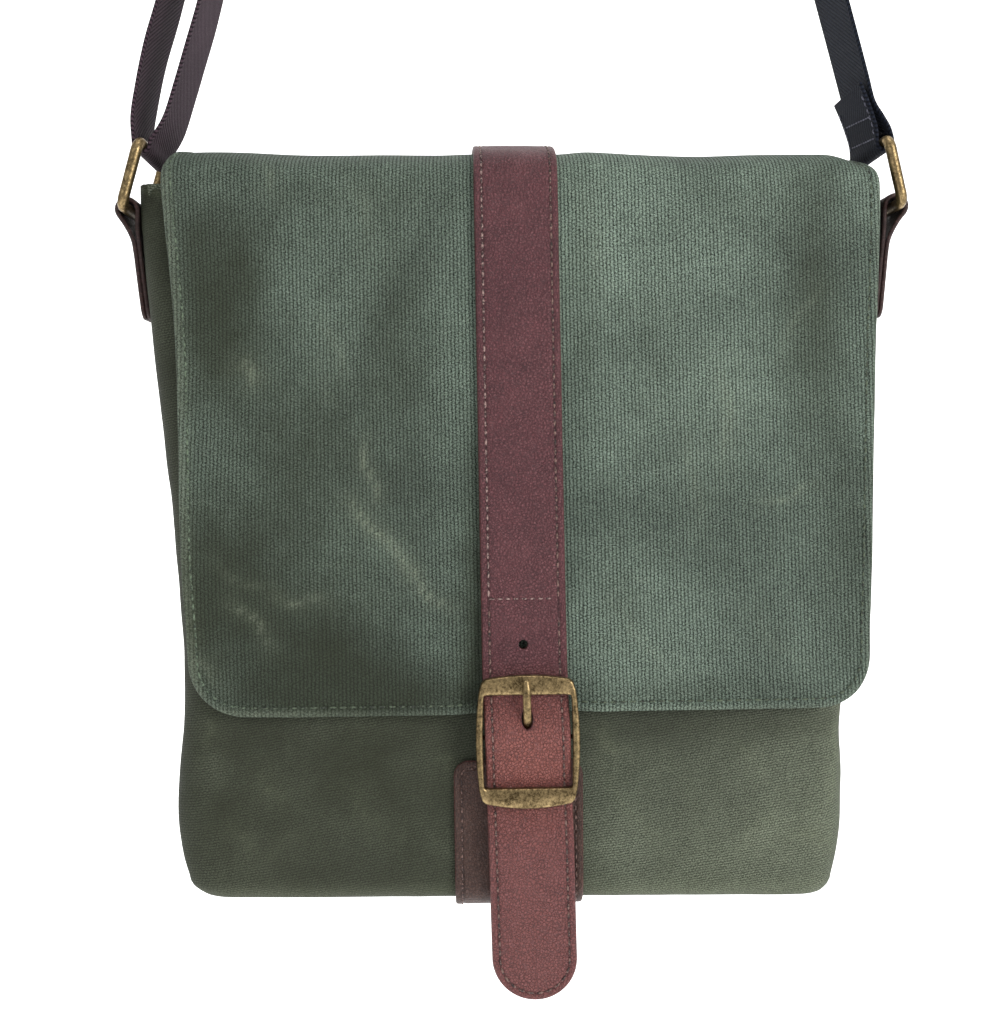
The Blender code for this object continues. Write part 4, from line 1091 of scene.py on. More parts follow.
def body_attr(G, nw):
    _, w_ = crease_field(G[..., 0], G[..., 2], BODY_CREASES)
    w_ = w_ * (G[..., 1] < -20)
    base_edge = np.exp(-((G[..., 2] + 319.0) / 5.0) ** 2) * 0.35
    rimw = np.zeros(G.shape[:2])
    rimw[:3] = 0.35
    X_, Z_ = G[..., 0], G[..., 2]
    # dk, the 'dark' attribute: painted shade over the left half and the lower left, away from the key light, and a
    # little painted shade everywhere short of the right edge; darker towards the bottom; a painted shadow band just
    # under the flap's lower edge on the front; painted shade on the sides and back under the flap; the listed spots
    # then lighten it, one darkens it
    dk = 0.45 * np.exp(-((Z_ + 300) / 22.0) ** 2) * np.exp(-((X_ + 120) / 40.0) ** 2) + 0.82 * smoothstep(40.0, -40.0, X_)
    dk = dk + 0.20 * smoothstep(120.0, 60.0, X_) + 0.25 * smoothstep(-285.0, -318.0, Z_)
    dk = dk + 0.40 * np.exp(-((Z_ + 248.0) / 7.0) ** 2) * (G[..., 1] < -30)
    dk = dk + 0.8 * (G[..., 1] > -24) * smoothstep(-180.0, -140.0, Z_)
    for x0, z0, rx, rz, a in ((-128.0, -268.0, 14.0, 20.0, 0.30), (-88.0, -290.0, 20.0, 12.0, 0.22), (-46.0, -262.0, 14.0, 10.0, 0.20), (46.0, -300.0, 12.0, 16.0, 0.25), (128.0, -270.0, 16.0, 26.0, -0.10)):
        dk = dk - a * np.exp(-((X_ - x0) / rx) ** 2 - ((Z_ - z0) / rz) ** 2)
    return np.clip(w_ + base_edge + rimw, 0, 1), np.clip(dk, 0, 0.95)


rt = np.concatenate([[0, 0.002, 0.006], np.linspace(0.012, 0.119, 14), np.linspace(0.12, 1, 78)])
body, BG, BN, BNW = loop_shell("body_shell", outline, rt, ztop, -322.5, 2.3, M_BODY, 9.0, attrs_fn=body_attr, disp=body_disp)
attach(body, "bag")
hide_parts("left_gusset", "right_gusset", "back_panel", "bottom_panel", "front_pocket_panel", "pocket_hem")

# stitching along the mouth of the pocket and the gussets
front_cols = [c for c, tg in enumerate(cols_tag) if tg[0] == "front" and abs(tg[1]) < 0.99]


def body_at(c, z):
    zc_ = BG[:BNW, c, 2]
    i = np.interp(-z, -zc_, np.arange(BNW))
    i0 = min(int(i), BNW - 2)
    a = i - i0
    return (1 - a) * BG[i0, c] + a * BG[i0 + 1, c], (1 - a) * BN[i0, c] + a * BN[i0 + 1, c]


for zz, tag in ((-58.5, "upper"), (-63.5, "lower")):
    pp = [body_at(c, zz) for c in front_cols]
    o = stitches("pocket_hem_stitching_" + tag, [a for a, b in pp], [b for a, b in pp], M_THREAD_MIX, 4.1, 3.0, 0.34, 0.12)
    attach(o, "bag")
for sgn, tag in ((-1, "left"), (1, "right")):
    cs = [c for c, tg in enumerate(cols_tag) if tg[0] in ("side",) and tg[1] == sgn]
    pp = [body_at(c, -18.5) for c in cs]
    o = stitches("gusset_top_stitching_" + tag, [a for a, b in pp], [b for a, b in pp], M_THREAD_MIX, 4.1, 3.0, 0.34, 0.12)
    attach(o, "bag")


# front panel of the main compartment, behind the pocket
def panel(name, z0, z1, y_at, w_at, ht_, mat, n_z=60, n_x=60, amp=0.5, seed=2.0, uvs=1.0):
    rz = np.concatenate([[0, 0.15, 0.5, 1.1, 2.0], np.linspace(3.5, z0 - z1 - 3.5, n_z), [z0 - z1 - 2, z0 - z1 - 1.1, z0 - z1 - 0.5, z0 - z1 - 0.15, z0 - z1]])
    cxx = edge_cols(150.0, 300.0 / n_x) / 150.0
    Zg, Cg = np.meshgrid(z0 - rz, cxx, indexing="ij")
    Wg = w_at(Zg)
    Xg = Cg * Wg
    Yg = y_at(Zg) + 0 * Xg
    for i in range(Zg.shape[0]):
        for j in range(Zg.shape[1]):
            Yg[i, j] += amp * fnoise((Xg[i, j], 0, Zg[i, j]), 0.03, seed)
    d = np.minimum(np.minimum(Wg - np.abs(Xg), z0 - Zg), Zg - z1)
    d = np.clip(d, 0, None)
    h = ht_ * rnd(d, 1.0) * (1 + 0.25 * (1 - smoothstep(9.0, 10.0, z0 - Zg)))
    h[d <= 0] = 0
    ob, tp, bt, n = closed_sheet(name, np.stack([Xg, Yg, Zg], -1), h, h, np.stack([Xg, Zg], -1), mat, {"wear": 0.3 * np.exp(-((z0 - Zg - 1) / 1.5) ** 2), "dark": 0 * Zg})
    return ob


fp = panel("front_panel_cloth", -13.0, -318.5, lambda z: -13.9 + 0 * z, lambda z: np.minimum(half_w(z, -1), half_w(z, 1)) - 4.6, 1.0, M_BODY, amp=0.35)
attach(fp, "bag")
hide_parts("front_panel")
pts_ = [((x, -14.0 - 1.25, -20.5), (0, -1, 0)) for x in np.arange(-150, 151, 2.0)]
o = stitches("front_panel_hem_stitching", [a for a, b in pts_], [b for a, b in pts_], M_THREAD_MIX, 4.1, 3.0, 0.34, 0.15)
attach(o, "bag")

# cotton lining of the main compartment: a shell inside the body
def lin_outline(z):
    WL, WR = half_w(z, -1) - 4.4, half_w(z, 1) - 4.4
    out = np.zeros((NC, 2))
    for c, tg in enumerate(cols_tag):
        w_ = (WL if tg[1] < 0 else WR)[c]
        yf = -11.2
        if tg[0] == "back":
            out[c] = (tg[1] * (w_ - 5), 28.6)
        elif tg[0] == "bc":
            a = tg[2] * math.pi / 2
            out[c] = (tg[1] * (w_ - 5 + 5 * math.sin(a)), 23.6 + 5 * math.cos(a))
        elif tg[0] == "side":
            out[c] = (tg[1] * w_, 23.6 + (yf + 5 - 23.6) * tg[2])
        elif tg[0] == "fc":
            a = tg[2] * math.pi / 2
            out[c] = (tg[1] * (w_ - 5 + 5 * math.cos(a)), yf + 5 - 5 * math.sin(a))
        else:
            out[c] = (tg[1] * (w_ - 5), yf)
    return out


def lin_disp(G):
    G = G.copy()
    for i in range(G.shape[0]):
        for j in range(G.shape[1]):
            p = G[i, j]
            a = 0.5 * (fnoise(p, 0.035, 7.7) - 0.6)
            G[i, j, 0] += -a * np.sign(p[0]) * -1 * (abs(p[0]) > 140)
            G[i, j, 1] += (a if p[1] > 20 else (-a if p[1] < -8 else 0))
    G[..., 1] = np.clip(G[..., 1], -11.4, 28.7)
    return G


lz = np.full(NC, -21.0)
lin, LG, LN, LNW = loop_shell("main_lining", lin_outline, np.linspace(0, 1, 50), lz, -318.0, 0.6, M_INNER, 6.0, disp=lin_disp)
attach(lin, "bag")
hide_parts("lining_front", "lining_back", "lining_left", "lining_right")
slip_lo, slip_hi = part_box("inner_slip_pocket")
sl = [v * 1000 for v in (slip_lo.x, slip_hi.x, slip_lo.z, slip_hi.z)]
sp_w, sp_z1, sp_z0 = (sl[1] - sl[0]) / 2, sl[2] + FD, sl[3] + FD
slip = panel("inner_slip_pocket_cloth", sp_z0, sp_z1, lambda z: (slip_lo.y + slip_hi.y) * 500.0 - 0.4 + 0 * z, lambda z: sp_w + 0 * z, 0.5, M_INNER, 24, 30, 0.3)
slip.location.x = (sl[0] + sl[1]) * 0.0005
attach(slip, "bag")
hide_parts("inner_slip_pocket")
yy = slip_lo.y * 1000 - 1.0
cxp = (sl[0] + sl[1]) / 2
pts_ = [(cxp - sp_w + 3, yy, z) for z in np.arange(sp_z0 - 3, sp_z1 + 3, -2.0)] + [(x, yy, sp_z1 + 3) for x in np.arange(cxp - sp_w + 3, cxp + sp_w - 3, 2.0)] + [(cxp + sp_w - 3, yy, z) for z in np.arange(sp_z1 + 3, sp_z0 - 3, 2.0)]
o = stitches("slip_pocket_stitching", pts_, [(0, -1, 0)] * len(pts_), M_THREAD_PALE, 3.2, 2.3, 0.25, 0.1)
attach(o, "bag")

# ============================================================ leather patch under the strap
PX0 = -1.2
ppath = [(pocket_y(z) - 1.35, z) for z in (-262.0, -275.0, -290.0, -305.0, -312.0)]
ppath += [(-52.3, -317.3), (-50.1, -320.8), (-46.8, -323.1), (-42.6, -323.9), (-34.0, -324.0), (-25.6, -324.0)]
pp2, ps = smooth_path(ppath, 2.0)
pl = ps[-1]
rws = sorted(set([0, 0.12, 0.4, 0.9, 1.6, 2.2, 2.8, 3.2, 3.6, 4.0, 4.8] + list(np.arange(6.5, pl - 3, 1.7)) + [pl - q for q in (2.0, 1.2, 0.6, 0.2, 0.0)]))
rws = np.array(rws)
ccs = edge_cols(27.5, 1.6, (0.0, 0.08, 0.3, 0.7, 1.2, 1.9, 2.6, 2.95, 3.3, 3.65, 4.0, 4.8)) / 27.5
Sg, Cg = np.meshgrid(rws, ccs, indexing="ij")
rc = 6.5
cutp = np.where(Sg < rc, rc - np.sqrt(np.maximum(rc ** 2 - (rc - Sg) ** 2, 0)), 0.0)
Hg = 27.5 - 0.6 * Sg / pl
Xg = Cg * (Hg - cutp)
dsd = Hg - np.abs(Xg)
dd = np.minimum(dsd, Sg)
cnr = (dsd < rc) & (Sg < rc)
dd = np.where(cnr, rc - np.hypot(rc - dsd, rc - Sg), dd)
dd = np.clip(np.minimum(dd, pl - Sg), 0, None)
q = along(pp2, Sg.ravel()).reshape(Sg.shape + (2,))
ht = 1.2 * rnd(dd, 0.8) - 0.30 * np.exp(-((dd - 3.4) / 0.55) ** 2) * (dd > 1) + 0.12 * np.exp(-((dd - 1.9) / 0.8) ** 2)
ht[dd <= 0] = 0
hb = 1.1 * rnd(dd, 0.8)
Pp = np.stack([Xg + PX0, q[..., 0], q[..., 1]], -1)
dk = 0.4 * np.exp(-((dd - 3.4) / 0.4) ** 2)
pa = dict(attrs={"dark": dk, "wear": 0 * dk}, edge_mat=2)
patch, tp, bt, pn = closed_sheet("strap_patch_leather", Pp, ht, hb, np.stack([Xg, -Sg], -1), [M_PATCH_SHADED, M_STRAP_EDGE], **pa)
if pn[len(rws) // 3, len(ccs) // 2][1] > 0:
    bpy.data.objects.remove(patch)
    patch, tp, bt, pn = closed_sheet("strap_patch_leather", Pp, ht, hb, np.stack([Xg, -Sg], -1), [M_PATCH_SHADED, M_STRAP_EDGE], flip=True, **pa)


def grid_at(rr_, cc_, G1, G2, s, c):
    i = np.interp(s, rr_, np.arange(len(rr_)))
    j = np.interp(c, cc_, np.arange(len(cc_)))
    i0, j0 = min(int(i), len(rr_) - 2), min(int(j), len(cc_) - 2)
    a, b = i - i0, j - j0
    return tuple((1 - a) * (1 - b) * G[i0, j0] + (1 - a) * b * G[i0, j0 + 1] + a * (1 - b) * G[i0 + 1, j0] + a * b * G[i0 + 1, j0 + 1] for G in (G1, G2))


seam = [(-24.1, s) for s in np.arange(pl - 4, 6.5, -1.5)] + [(-27.5 + 6.5 - 3.1 * math.cos(a), 6.5 - 3.1 * math.sin(a)) for a in np.linspace(0.2, 1.5, 8)]
seam += [(x, 3.4) for x in np.arange(-20.5, 20.6, 1.5)]
seam += [(27.5 - 6.5 + 3.1 * math.cos(a), 6.5 - 3.1 * math.sin(a)) for a in np.linspace(1.5, 0.2, 8)] + [(24.1, s) for s in np.arange(6.5, pl - 4, 1.5)]
sp = []
for x, s in seam:
    c_ = rc - math.sqrt(max(rc ** 2 - (rc - s) ** 2, 0)) if s < rc else 0.0
    sp.append(grid_at(rws, ccs, tp, pn, s, x / (27.5 - 0.6 * s / pl - c_)))
pst = stitches("strap_patch_stitching", [a for a, b in sp], [b for a, b in sp], M_THREAD_BROWN, 4.0, 2.9, 0.40, 0.12)
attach(patch, "bag")
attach(pst, "bag")
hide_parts("strap_patch")


# ============================================================ strips that run round a bar (their width lies along Y)
def y_strip(name, path, half, T, mat, attrs=None, edge=0, end_round=None, ycols=None, wob=0.0, u0=0.0, seed=1.0, thick_edge=0.0, step=1.6):
    pts, s = smooth_path(path, step)
    tot = s[-1]
    r = np.array(sorted(set([0, 0.15, 0.45, 0.9] + list(np.arange(1.8, tot - 1.5, step)) + [tot - q for q in (0.9, 0.45, 0.15, 0.0)])))
    r = r[np.concatenate([[True], np.diff(r) > 0.02])]
    cc = edge_cols(half, ycols or 2.0, (0.0, 0.1, 0.35, 0.7, 1.2, 2.0, 3.0, 4.0)) / half
    S_, C_ = np.meshgrid(r, cc, indexing="ij")
    q = along(pts, S_.ravel()).reshape(S_.shape + (2,))
    H = np.full(S_.shape, float(half))
    if end_round:
        e = np.minimum(S_, tot - S_)
        cut_ = np.where(e < end_round, end_round - np.sqrt(np.maximum(end_round ** 2 - (end_round - e) ** 2, 0)), 0.0)
        H = H - cut_ * 0.98
    Y_ = C_ * H
    d = np.clip(np.minimum(H - np.abs(Y_), np.minimum(S_, tot - S_)), 0, None)
    h = T / 2 * rnd(d, min(0.8, T / 2)) * (1 + thick_edge * np.exp(-((np.abs(Y_) - half + 1.2) / 0.7) ** 2))
    h[d <= 0] = 0
    P_ = np.stack([q[..., 0], Y_, q[..., 1]], -1)
    if wob:
        for i in range(P_.shape[0]):
            w1 = wob * fnoise((0, 0, r[i]), 0.06, seed)
            P_[i, :, 0] += w1 * smoothstep(0, 25, min(r[i], tot - r[i]))
    UV_ = np.stack([Y_, S_ + u0], -1)
    at = None
    if attrs:
        at = attrs(Y_, S_, tot)
    ob, tp_, bt_, n_ = closed_sheet(name, P_, h, h, UV_, mat, at, edge_mat=edge)
    return ob, r, cc, tp_, bt_, n_, half, tot


def strip_pt(st, y, s, under=False):
    _, r, cc, tp_, bt_, n_, half, tot = st
    a, b = grid_at(r, cc, bt_ if under else tp_, n_, s, y / half)
    return (a, -b) if under else (a, b)


BAR_LOOP = 2.4 + 0.3 + 0.8


def leg_x(leg, z):
    return leg[0] + leg[2] * (z - leg[1])


LEG_R, LEG_L = (143.1, 74.5, -0.257), (-138.4, 68.0, 0.243)
LEAN = math.atan(0.25)
ARCH_R = 27.6 / math.cos(LEAN)
ARCH_CZ = 524.0 - ARCH_R * math.sin(LEAN)


RING_LO = {-1: (169.4, -24.0), 1: (170.9, -22.6)}
RING_HI = {-1: (161.6, 3.2), 1: (164.4, 4.6)}


def arc(side, a0, a1, n=14):
    cx_, cz_ = RING_HI[side]
    return [(side * (cx_ + BAR_LOOP * math.cos(math.radians(a0 + (a1 - a0) * i / n))), cz_ + BAR_LOOP * math.sin(math.radians(a0 + (a1 - a0) * i / n))) for i in range(n + 1)]


def web_attr(Y_, S_, tot):
    return {"wear": 0 * Y_, "dark": 0 * Y_}


ARC_L = [(ARCH_R * math.cos(a), ARCH_CZ + ARCH_R * math.sin(a)) for a in np.linspace(math.pi - LEAN - 0.02, math.pi / 2, 12)]
ARC_R = [(ARCH_R * math.cos(a), ARCH_CZ + ARCH_R * math.sin(a)) for a in np.linspace(LEAN + 0.02, math.pi / 2, 12)]
left_path = [(-143.0, 101.0), (-148.2, 83.0), (-153.0, 66.0), (-158.9, 47.0), (-163.0, 29.0), (-165.4, 14.5)] + arc(-1, 12, -196)
left_path += [(-155.6, 8.0), (-153.6, 11.0), (-151.0, 16.0), (-146.0, 31.0), (-141.0, 47.0), (-135.6, 64.5), (-126.9, 100.0), (-117.4, 150.0)] + [(leg_x(LEG_L, z), z) for z in (178.0, 190.0, 200.0, 215.0, 230.0, 260.0, 320.0, 380.0, 440.0, 490.0, 520.0)] + ARC_L[1:]
ls = y_strip("shoulder_webbing_left", left_path, 19.0, 1.5, M_WEB, web_attr, wob=0.0)
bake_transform(ls[0])
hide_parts("left_webbing_loop", "strap_left_leg")
right_path = list(reversed(ARC_R[:-1])) + [(leg_x(LEG_R, z), z) for z in (520.0, 490.0, 440.0, 380.0, 320.0, 260.0, 200.0, 150.0, 110.0)]
right_path = [ARC_R[-1]] + right_path + [(142.6, 82.0), (147.2, 65.7), (151.6, 50.0), (156.3, 33.0), (159.4, 22.0), (163.2, 16.0), (166.4, 10.5)] + arc(1, 10, -190) + [(160.4, 11.0), (158.9, 16.0), (156.3, 23.0), (153.0, 30.5)]
# the right half uses the painted-shade copy of the webbing colour
rs = y_strip("shoulder_webbing_right", right_path, 19.0, 1.5, M_WEB_SHADED, web_attr)
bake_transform(rs[0])
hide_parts("right_webbing_loop", "strap_right_leg", "strap_shoulder_arch")

SLA = math.atan(LEG_L[2])
UU = (math.sin(SLA), math.cos(SLA))
NN = (-math.cos(SLA), math.sin(SLA))
SPZ = (leg_x(LEG_L, 230.0), 230.0)


def on_slider(u, n_):
    return (SPZ[0] + UU[0] * u + NN[0] * n_, SPZ[1] + UU[1] * u + NN[1] * n_)


ret = [(-144.2, 98.0), (-143.15, 101.3), (-141.9, 105.0), (-131.2, 145.0), (-119.5, 180.0), on_slider(-24, 4.6), on_slider(-10, 3.0), on_slider(-3.6, 2.5)]
rt_ = y_strip("shoulder_webbing_return", ret, 19.0, 1.5, M_WEB, web_attr)
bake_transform(rt_[0])
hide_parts("strap_return_ply")

# stitching that closes the right end
tot = rs[7]
for k, (s_, tag) in enumerate(((tot - 24.0, "upper"), (tot - 14.0, "lower"))):
    pp = [strip_pt(rs, y, s_ + y * 0.10) for y in np.arange(-16.5, 16.6, 1.0)]
    pu = [strip_pt(rs, y, s_ + y * 0.10, True) for y in np.arange(-16.5, 16.6, 1.0)]
    pq = pp if pp[16][0][0] < pu[16][0][0] else pu
    o = stitches("webbing_end_stitching_" + tag, [a for a, b in pq], [b for a, b in pq], M_THREAD_BLUE, 3.1, 2.3, 0.36, 0.18)
    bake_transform(o)
for y_ in (-16.5, 16.5):
    pp = [strip_pt(rs, y_, s_) for s_ in np.arange(tot - 24, tot - 3, 1.0)]
    pu = [strip_pt(rs, y_, s_, True) for s_ in np.arange(tot - 24, tot - 3, 1.0)]
    pq = pp if pp[5][0][0] < pu[5][0][0] else pu
    o = stitches("webbing_end_stitching_side_" + ("front" if y_ < 0 else "back"), [a for a, b in pq], [b for a, b in pq], M_THREAD_BLUE, 3.1, 2.3, 0.36, 0.18)
    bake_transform(o)

# ============================================================ side tabs and rings
for side, tag in ((-1, "left"), (1, "right")):
    def ix(z):
        return float(half_w(z, side)) + 0.5 + 0.95
    path = [(ix(-72.0), -72.0), (ix(-60.0), -60.0), (ix(-50.0), -50.0), (ix(-33.0) + 0.1, -33.0)]
    lo, hi = RING_LO[side], RING_HI[side]
    rr = 2.4 + 0.75 + 0.95 + (0.35 if side < 0 else 0.7)
    for i in range(13):
        a = math.radians(180 - 215 * i / 12)
        path.append((lo[0] + rr * math.cos(a), lo[1] + rr * math.sin(a)))
    path += [(lo[0] + 1.0, lo[1] - 6.4), (ix(-37.0) + 2.6, -37.0), (ix(-43.0) + 2.05, -43.0), (ix(-50.0) + 2.0, -50.0), (ix(-60.0) + 2.0, -60.0), (ix(-72.0) + 2.0, -72.0)]
    st = y_strip(tag + "_tab_leather", [(side * x, z) for x, z in path], 15.0, 1.9, [M_TAB, M_TAB_EDGE],
                 lambda Y_, S_, tot: {"wear": 0 * Y_, "dark": 0.4 * np.exp(-((15.0 - np.abs(Y_) - 3.2) / 0.5) ** 2)}, edge=3, end_round=5.0, step=1.2)
    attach(st[0], "bag")
    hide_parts(tag + "_side_tab")
    tt = st[7]
    under = False
    a_, _ = strip_pt(st, 0.0, tt - 15.0, False)
    b_, _ = strip_pt(st, 0.0, tt - 15.0, True)
    under = abs(b_[0]) > abs(a_[0])
    seam = [(-11.8, s) for s in np.arange(tt - 33.0, tt - 5.0, 1.2)] + [(-10.5, tt - 4.0)] + [(y, tt - 3.4) for y in np.arange(-9.5, 9.6, 1.2)] + [(10.5, tt - 4.0)] + [(11.8, s) for s in np.arange(tt - 5.0, tt - 33.0, -1.2)]
    seam += [(y, tt - 33.0) for y in np.arange(11.0, -11.1, -1.2)]
    pp = [strip_pt(st, y, s, under) for y, s in seam]
    o = stitches(tag + "_tab_stitching", [a for a, b in pp], [b for a, b in pp], M_THREAD_BROWN, 3.6, 2.6, 0.33, 0.08)
    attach(o, "bag")
    ux, uz = hi[0] - lo[0], hi[1] - lo[1]
    h = math.hypot(ux, uz)
    ux, uz = ux / h, uz / h
    r_ = 4.2
    path = []
    for cy, ch, a0 in ((23.2 - r_, h - r_, 0), (-23.2 + r_, h - r_, 90), (-23.2 + r_, r_, 180), (23.2 - r_, r_, 270)):
        for i in range(9):
            a = math.radians(a0 + 90 * i / 8)
            path.append((cy + r_ * math.cos(a), ch + r_ * math.sin(a)))
    dense = []
    for i in range(len(path)):
        p0, p1 = np.array(path[i]), np.array(path[(i + 1) % len(path)])
        k = max(int(np.linalg.norm(p1 - p0) / 1.5), 1)
        for t in range(k):
            dense.append(p0 + (p1 - p0) * t / k)
    P3 = [(side * (lo[0] + ux * d), y, lo[1] + uz * d) for y, d in dense]
    wr = [2.4 + 0.05 * fnoise(p, 0.2, 2.0) for p in P3]
    o = tube(tag + "_ring_metal", P3, wr, M_BRASS, 18, closed=True, up=(side * uz, 0, -ux))
    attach(o, "ring_" + tag)
    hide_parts(tag + "_ring")


# ============================================================ buckle
def frame_y(z):
    return lerp(z, -228.5, -55.9, -275.0, -59.7)


outer, inner = [], []
NB = 26
for i in range(NB + 1):
    t = i / NB
    outer.append((-19.3 + 38.6 * t, -226.3 + 1.9 * math.sin(math.pi * t) ** 0.9))
    inner.append((-18.5 + 37.0 * t, -232.6))
for i in range(1, NB):
    t = i / NB
    e = min(t, 1 - t)
    pull = 0.9 * max(0.0, 1 - e / 0.05)
    outer.append((20.1 - pull + 1.7 * math.sin(math.pi * t), -228.2 - 47.4 * t))
    inner.append((18.4 + 0.4 * math.sin(math.pi * t), -232.6 - 38.6 * t))
for i in range(NB + 1):
    t = i / NB
    outer.append((19.4 - 38.8 * t, -277.2 - 2.4 * math.sin(math.pi * t) ** 0.9))
    inner.append((18.5 - 37.0 * t, -271.2))
for i in range(1, NB):
    t = i / NB
    e = min(t, 1 - t)
    pull = 0.9 * max(0.0, 1 - e / 0.05)
    outer.append((-20.1 + pull - 1.7 * math.sin(math.pi * t), -275.6 + 47.4 * t))
    inner.append((-18.4 - 0.4 * math.sin(math.pi * t), -271.2 + 38.6 * t))
outer, inner = np.array(outer), np.array(inner)
for _ in range(2):
    outer = (np.roll(outer, 1, 0) + outer * 4 + np.roll(outer, -1, 0)) / 6
    inner = (np.roll(inner, 1, 0) + inner * 6 + np.roll(inner, -1, 0)) / 8
nf = len(outer)
verts, faces = [], []
SECT = [(0.0, 1.45), (0.0, -0.7), (0.25, -1.2), (0.55, -1.45), (1.3, -1.66), (-1.3, -1.66), (-0.5, -1.45), (-0.22, -1.2), (0.0001, -0.7), (0.0001, 1.45)]
SD = len(SECT)
for i in range(nf):
    o, n_ = outer[i], inner[i]
    w_ = np.linalg.norm(n_ - o)
    d_ = (n_ - o) / w_
    for j, (off, yy_) in enumerate(SECT):
        k_ = min(abs(off), w_ * 0.42)
        q_ = o + d_ * k_ if j < 5 else n_ - d_ * (k_ if j < 8 else 0.0)
        verts.append((q_[0] + float(lean(-251.0)), frame_y(q_[1]) + yy_ * (1.0 if w_ > 4 else 0.92), q_[1]))
for i in range(nf):
    k = (i + 1) % nf
    for j in range(SD):
        l = (j + 1) % SD
        faces.append((i * SD + j, k * SD + j, k * SD + l, i * SD + l))
bk = add_mesh("buckle_frame_cast", np.array(verts), faces, M_BRASS)
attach(bk, "strap_tail")
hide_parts("buckle_frame")
PR = [(-55.2, -246.7), (-56.5, -245.1), (-58.5, -243.3), (-59.9, -240.8), (-60.3, -237.5), (-60.1, -233.0), (-59.5, -228.6), (-59.2, -226.2)]
eye = [(-53.8 + 2.75 * math.cos(a), -251.0 + 2.75 * math.sin(a)) for a in np.linspace(math.radians(-60), math.radians(-300), 16)]
path, s = smooth_path([(-53.8 + 2.75 * math.cos(a), -251.0 + 2.75 * math.sin(a)) for a in np.linspace(math.radians(40), math.radians(-248), 18)] + PR, 0.7)
rad = np.interp(np.arange(len(path)) / (len(path) - 1), [0, 0.3, 0.55, 0.9, 1.0], [1.45, 1.5, 1.7, 1.7, 1.15])
pr = tube("buckle_prong_bar", [(float(lean(z)), y, z) for y, z in path], rad, M_BRASS, 14, flat=0.62, up=(1, 0, 0))
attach(pr, "prong")
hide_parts("buckle_prong")


def paint(node, mat, bevel=0.0):
    ob = frame["nodes"][node]
    ob.data.materials.clear()
    ob.data.materials.append(mat)


# centre rod in the near-black brass: painted shade in the gaps beside the strap
bar = tube("buckle_center_rod", [(float(lean(-251.0)) + x, -53.8, -251.0) for x in np.linspace(-20.2, 20.2, 12)], 1.1, M_BRASS_SHADED, 14, up=(0, 0, 1))
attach(bar, "strap_tail")
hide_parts("buckle_center_bar")
paint("snap_socket", M_BRASS)
paint("snap_stud", M_BRASS)
paint("slider_frame", M_BRASS)
paint("slider_bar", M_BRASS)
bb_lo, bb_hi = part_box("base_board")
bz = [v.z * 1000 + FD for v in (bb_lo, bb_hi)]
bx, by = (-130.0, 124.0), (bb_lo.y * 1000 + 2.0, bb_hi.y * 1000 - 2.0)
ring = []
for cx_, cy_, a0 in ((bx[1] - 6, by[1] - 6, 0), (bx[0] + 6, by[1] - 6, 90), (bx[0] + 6, by[0] + 6, 180), (bx[1] - 6, by[0] + 6, 270)):
    for i in range(7):
        a = math.radians(a0 + 15 * i)
        ring.append((cx_ + 6 * math.cos(a), cy_ + 6 * math.sin(a)))
nr_ = len(ring)
levels = ((0.5, bz[0]), (0.0, bz[0] + 0.4), (0.0, bz[1] - 0.4), (0.5, bz[1]))
cxm, cym = (bx[0] + bx[1]) / 2, (by[0] + by[1]) / 2
vs = [(x - np.sign(x - cxm) * q, y - np.sign(y - cym) * q, z) for q, z in levels for x, y in ring]
fs = [(l * nr_ + i, l * nr_ + (i + 1) % nr_, (l + 1) * nr_ + (i + 1) % nr_, (l + 1) * nr_ + i) for l in range(3) for i in range(nr_)]
fs += [tuple(reversed(range(nr_))), tuple(range(3 * nr_, 4 * nr_))]
board = add_mesh("base_board_stiffener", np.array(vs), fs, M_TAB, uv=np.array([(v[0], v[1]) for v in vs]), smooth=False)
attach(board, "bag")
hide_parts("base_board")

# ============================================================ stage
def stage_mat(name, c, rough):
    k = Mat(name)
    return k.out(c, rough, 0.0)


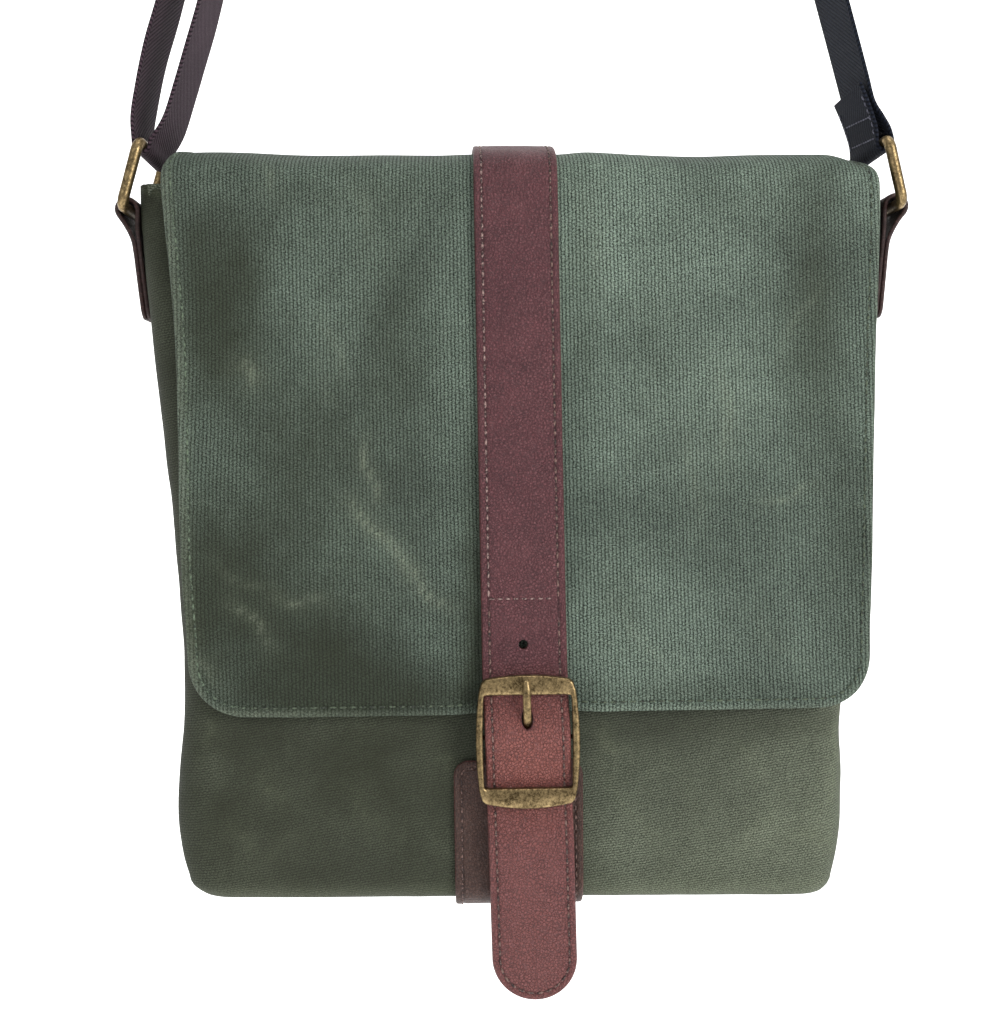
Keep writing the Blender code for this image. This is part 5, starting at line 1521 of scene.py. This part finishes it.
bpy.ops.mesh.primitive_plane_add(size=9.0, location=(0, 1.0, cad_lo.z - 0.5))
floor = bpy.context.object
floor.name = "studio_floor"
fm = stage_mat("studio_white", (0.92, 0.92, 0.92), 0.9)
fm.node_tree.nodes["Principled BSDF"].inputs["Emission Color"].default_value = (1, 1, 1, 1)
fm.node_tree.nodes["Principled BSDF"].inputs["Emission Strength"].default_value = 0.9
floor.data.materials.append(fm)
world = bpy.data.worlds.new("studio")
bpy.context.scene.world = world
world.use_nodes = True
world.node_tree.nodes["Background"].inputs[0].default_value = (1, 1, 1, 1)
world.node_tree.nodes["Background"].inputs[1].default_value = 0.42
bpy.ops.mesh.primitive_plane_add(size=14.0, location=(0, 3.2, 0), rotation=(math.radians(90), 0, 0))
backdrop = bpy.context.object
backdrop.name = "studio_backdrop"
backdrop.data.materials.append(fm)


def area(name, loc, target, size, power, color=(1, 1, 1)):
    d = bpy.data.lights.new(name, "AREA")
    d.shape = "RECTANGLE"
    d.size, d.size_y = size
    d.energy = power
    d.color = color
    o = bpy.data.objects.new(name, d)
    bpy.context.scene.collection.objects.link(o)
    o.location = loc
    o.rotation_euler = (Vector(target) - Vector(loc)).to_track_quat("-Z", "Y").to_euler()
    return o


area("key", (0.72, -0.80, -0.42), (0.05, -0.03, -0.68), (0.45, 0.55), 7.5, (1.0, 0.99, 0.97))
area("fill", (-0.9, -1.1, -0.2), (0, -0.03, -0.70), (0.9, 0.9), 3.0, (0.95, 0.98, 1.0))
area("top", (0.15, -0.15, 0.55), (0, -0.03, -0.6), (1.0, 0.6), 7.0)

cam = bpy.data.cameras.new("view")
cam.sensor_fit = "HORIZONTAL"
cam.sensor_width = 36.0
cam.lens = 45.5
cam.dof.use_dof = False
cam.clip_start = 0.01
co = bpy.data.objects.new("view", cam)
bpy.context.scene.collection.objects.link(co)
tgt = Vector((-0.0076, -0.030, -0.7047))
az, el, dist = math.radians(-2.0), math.radians(3.0), 0.55
dirv = Vector((math.sin(az) * math.cos(el), -math.cos(az) * math.cos(el), math.sin(el)))
co.location = tgt + dirv * dist
rot = (tgt - co.location).to_track_quat("-Z", "Y").to_euler()
co.rotation_euler = rot
co.rotation_euler.rotate_axis("Z", math.radians(-0.4))
bpy.context.scene.camera = co
bpy.context.scene.view_settings.view_transform = "Standard"

bpy.context.view_layer.update()
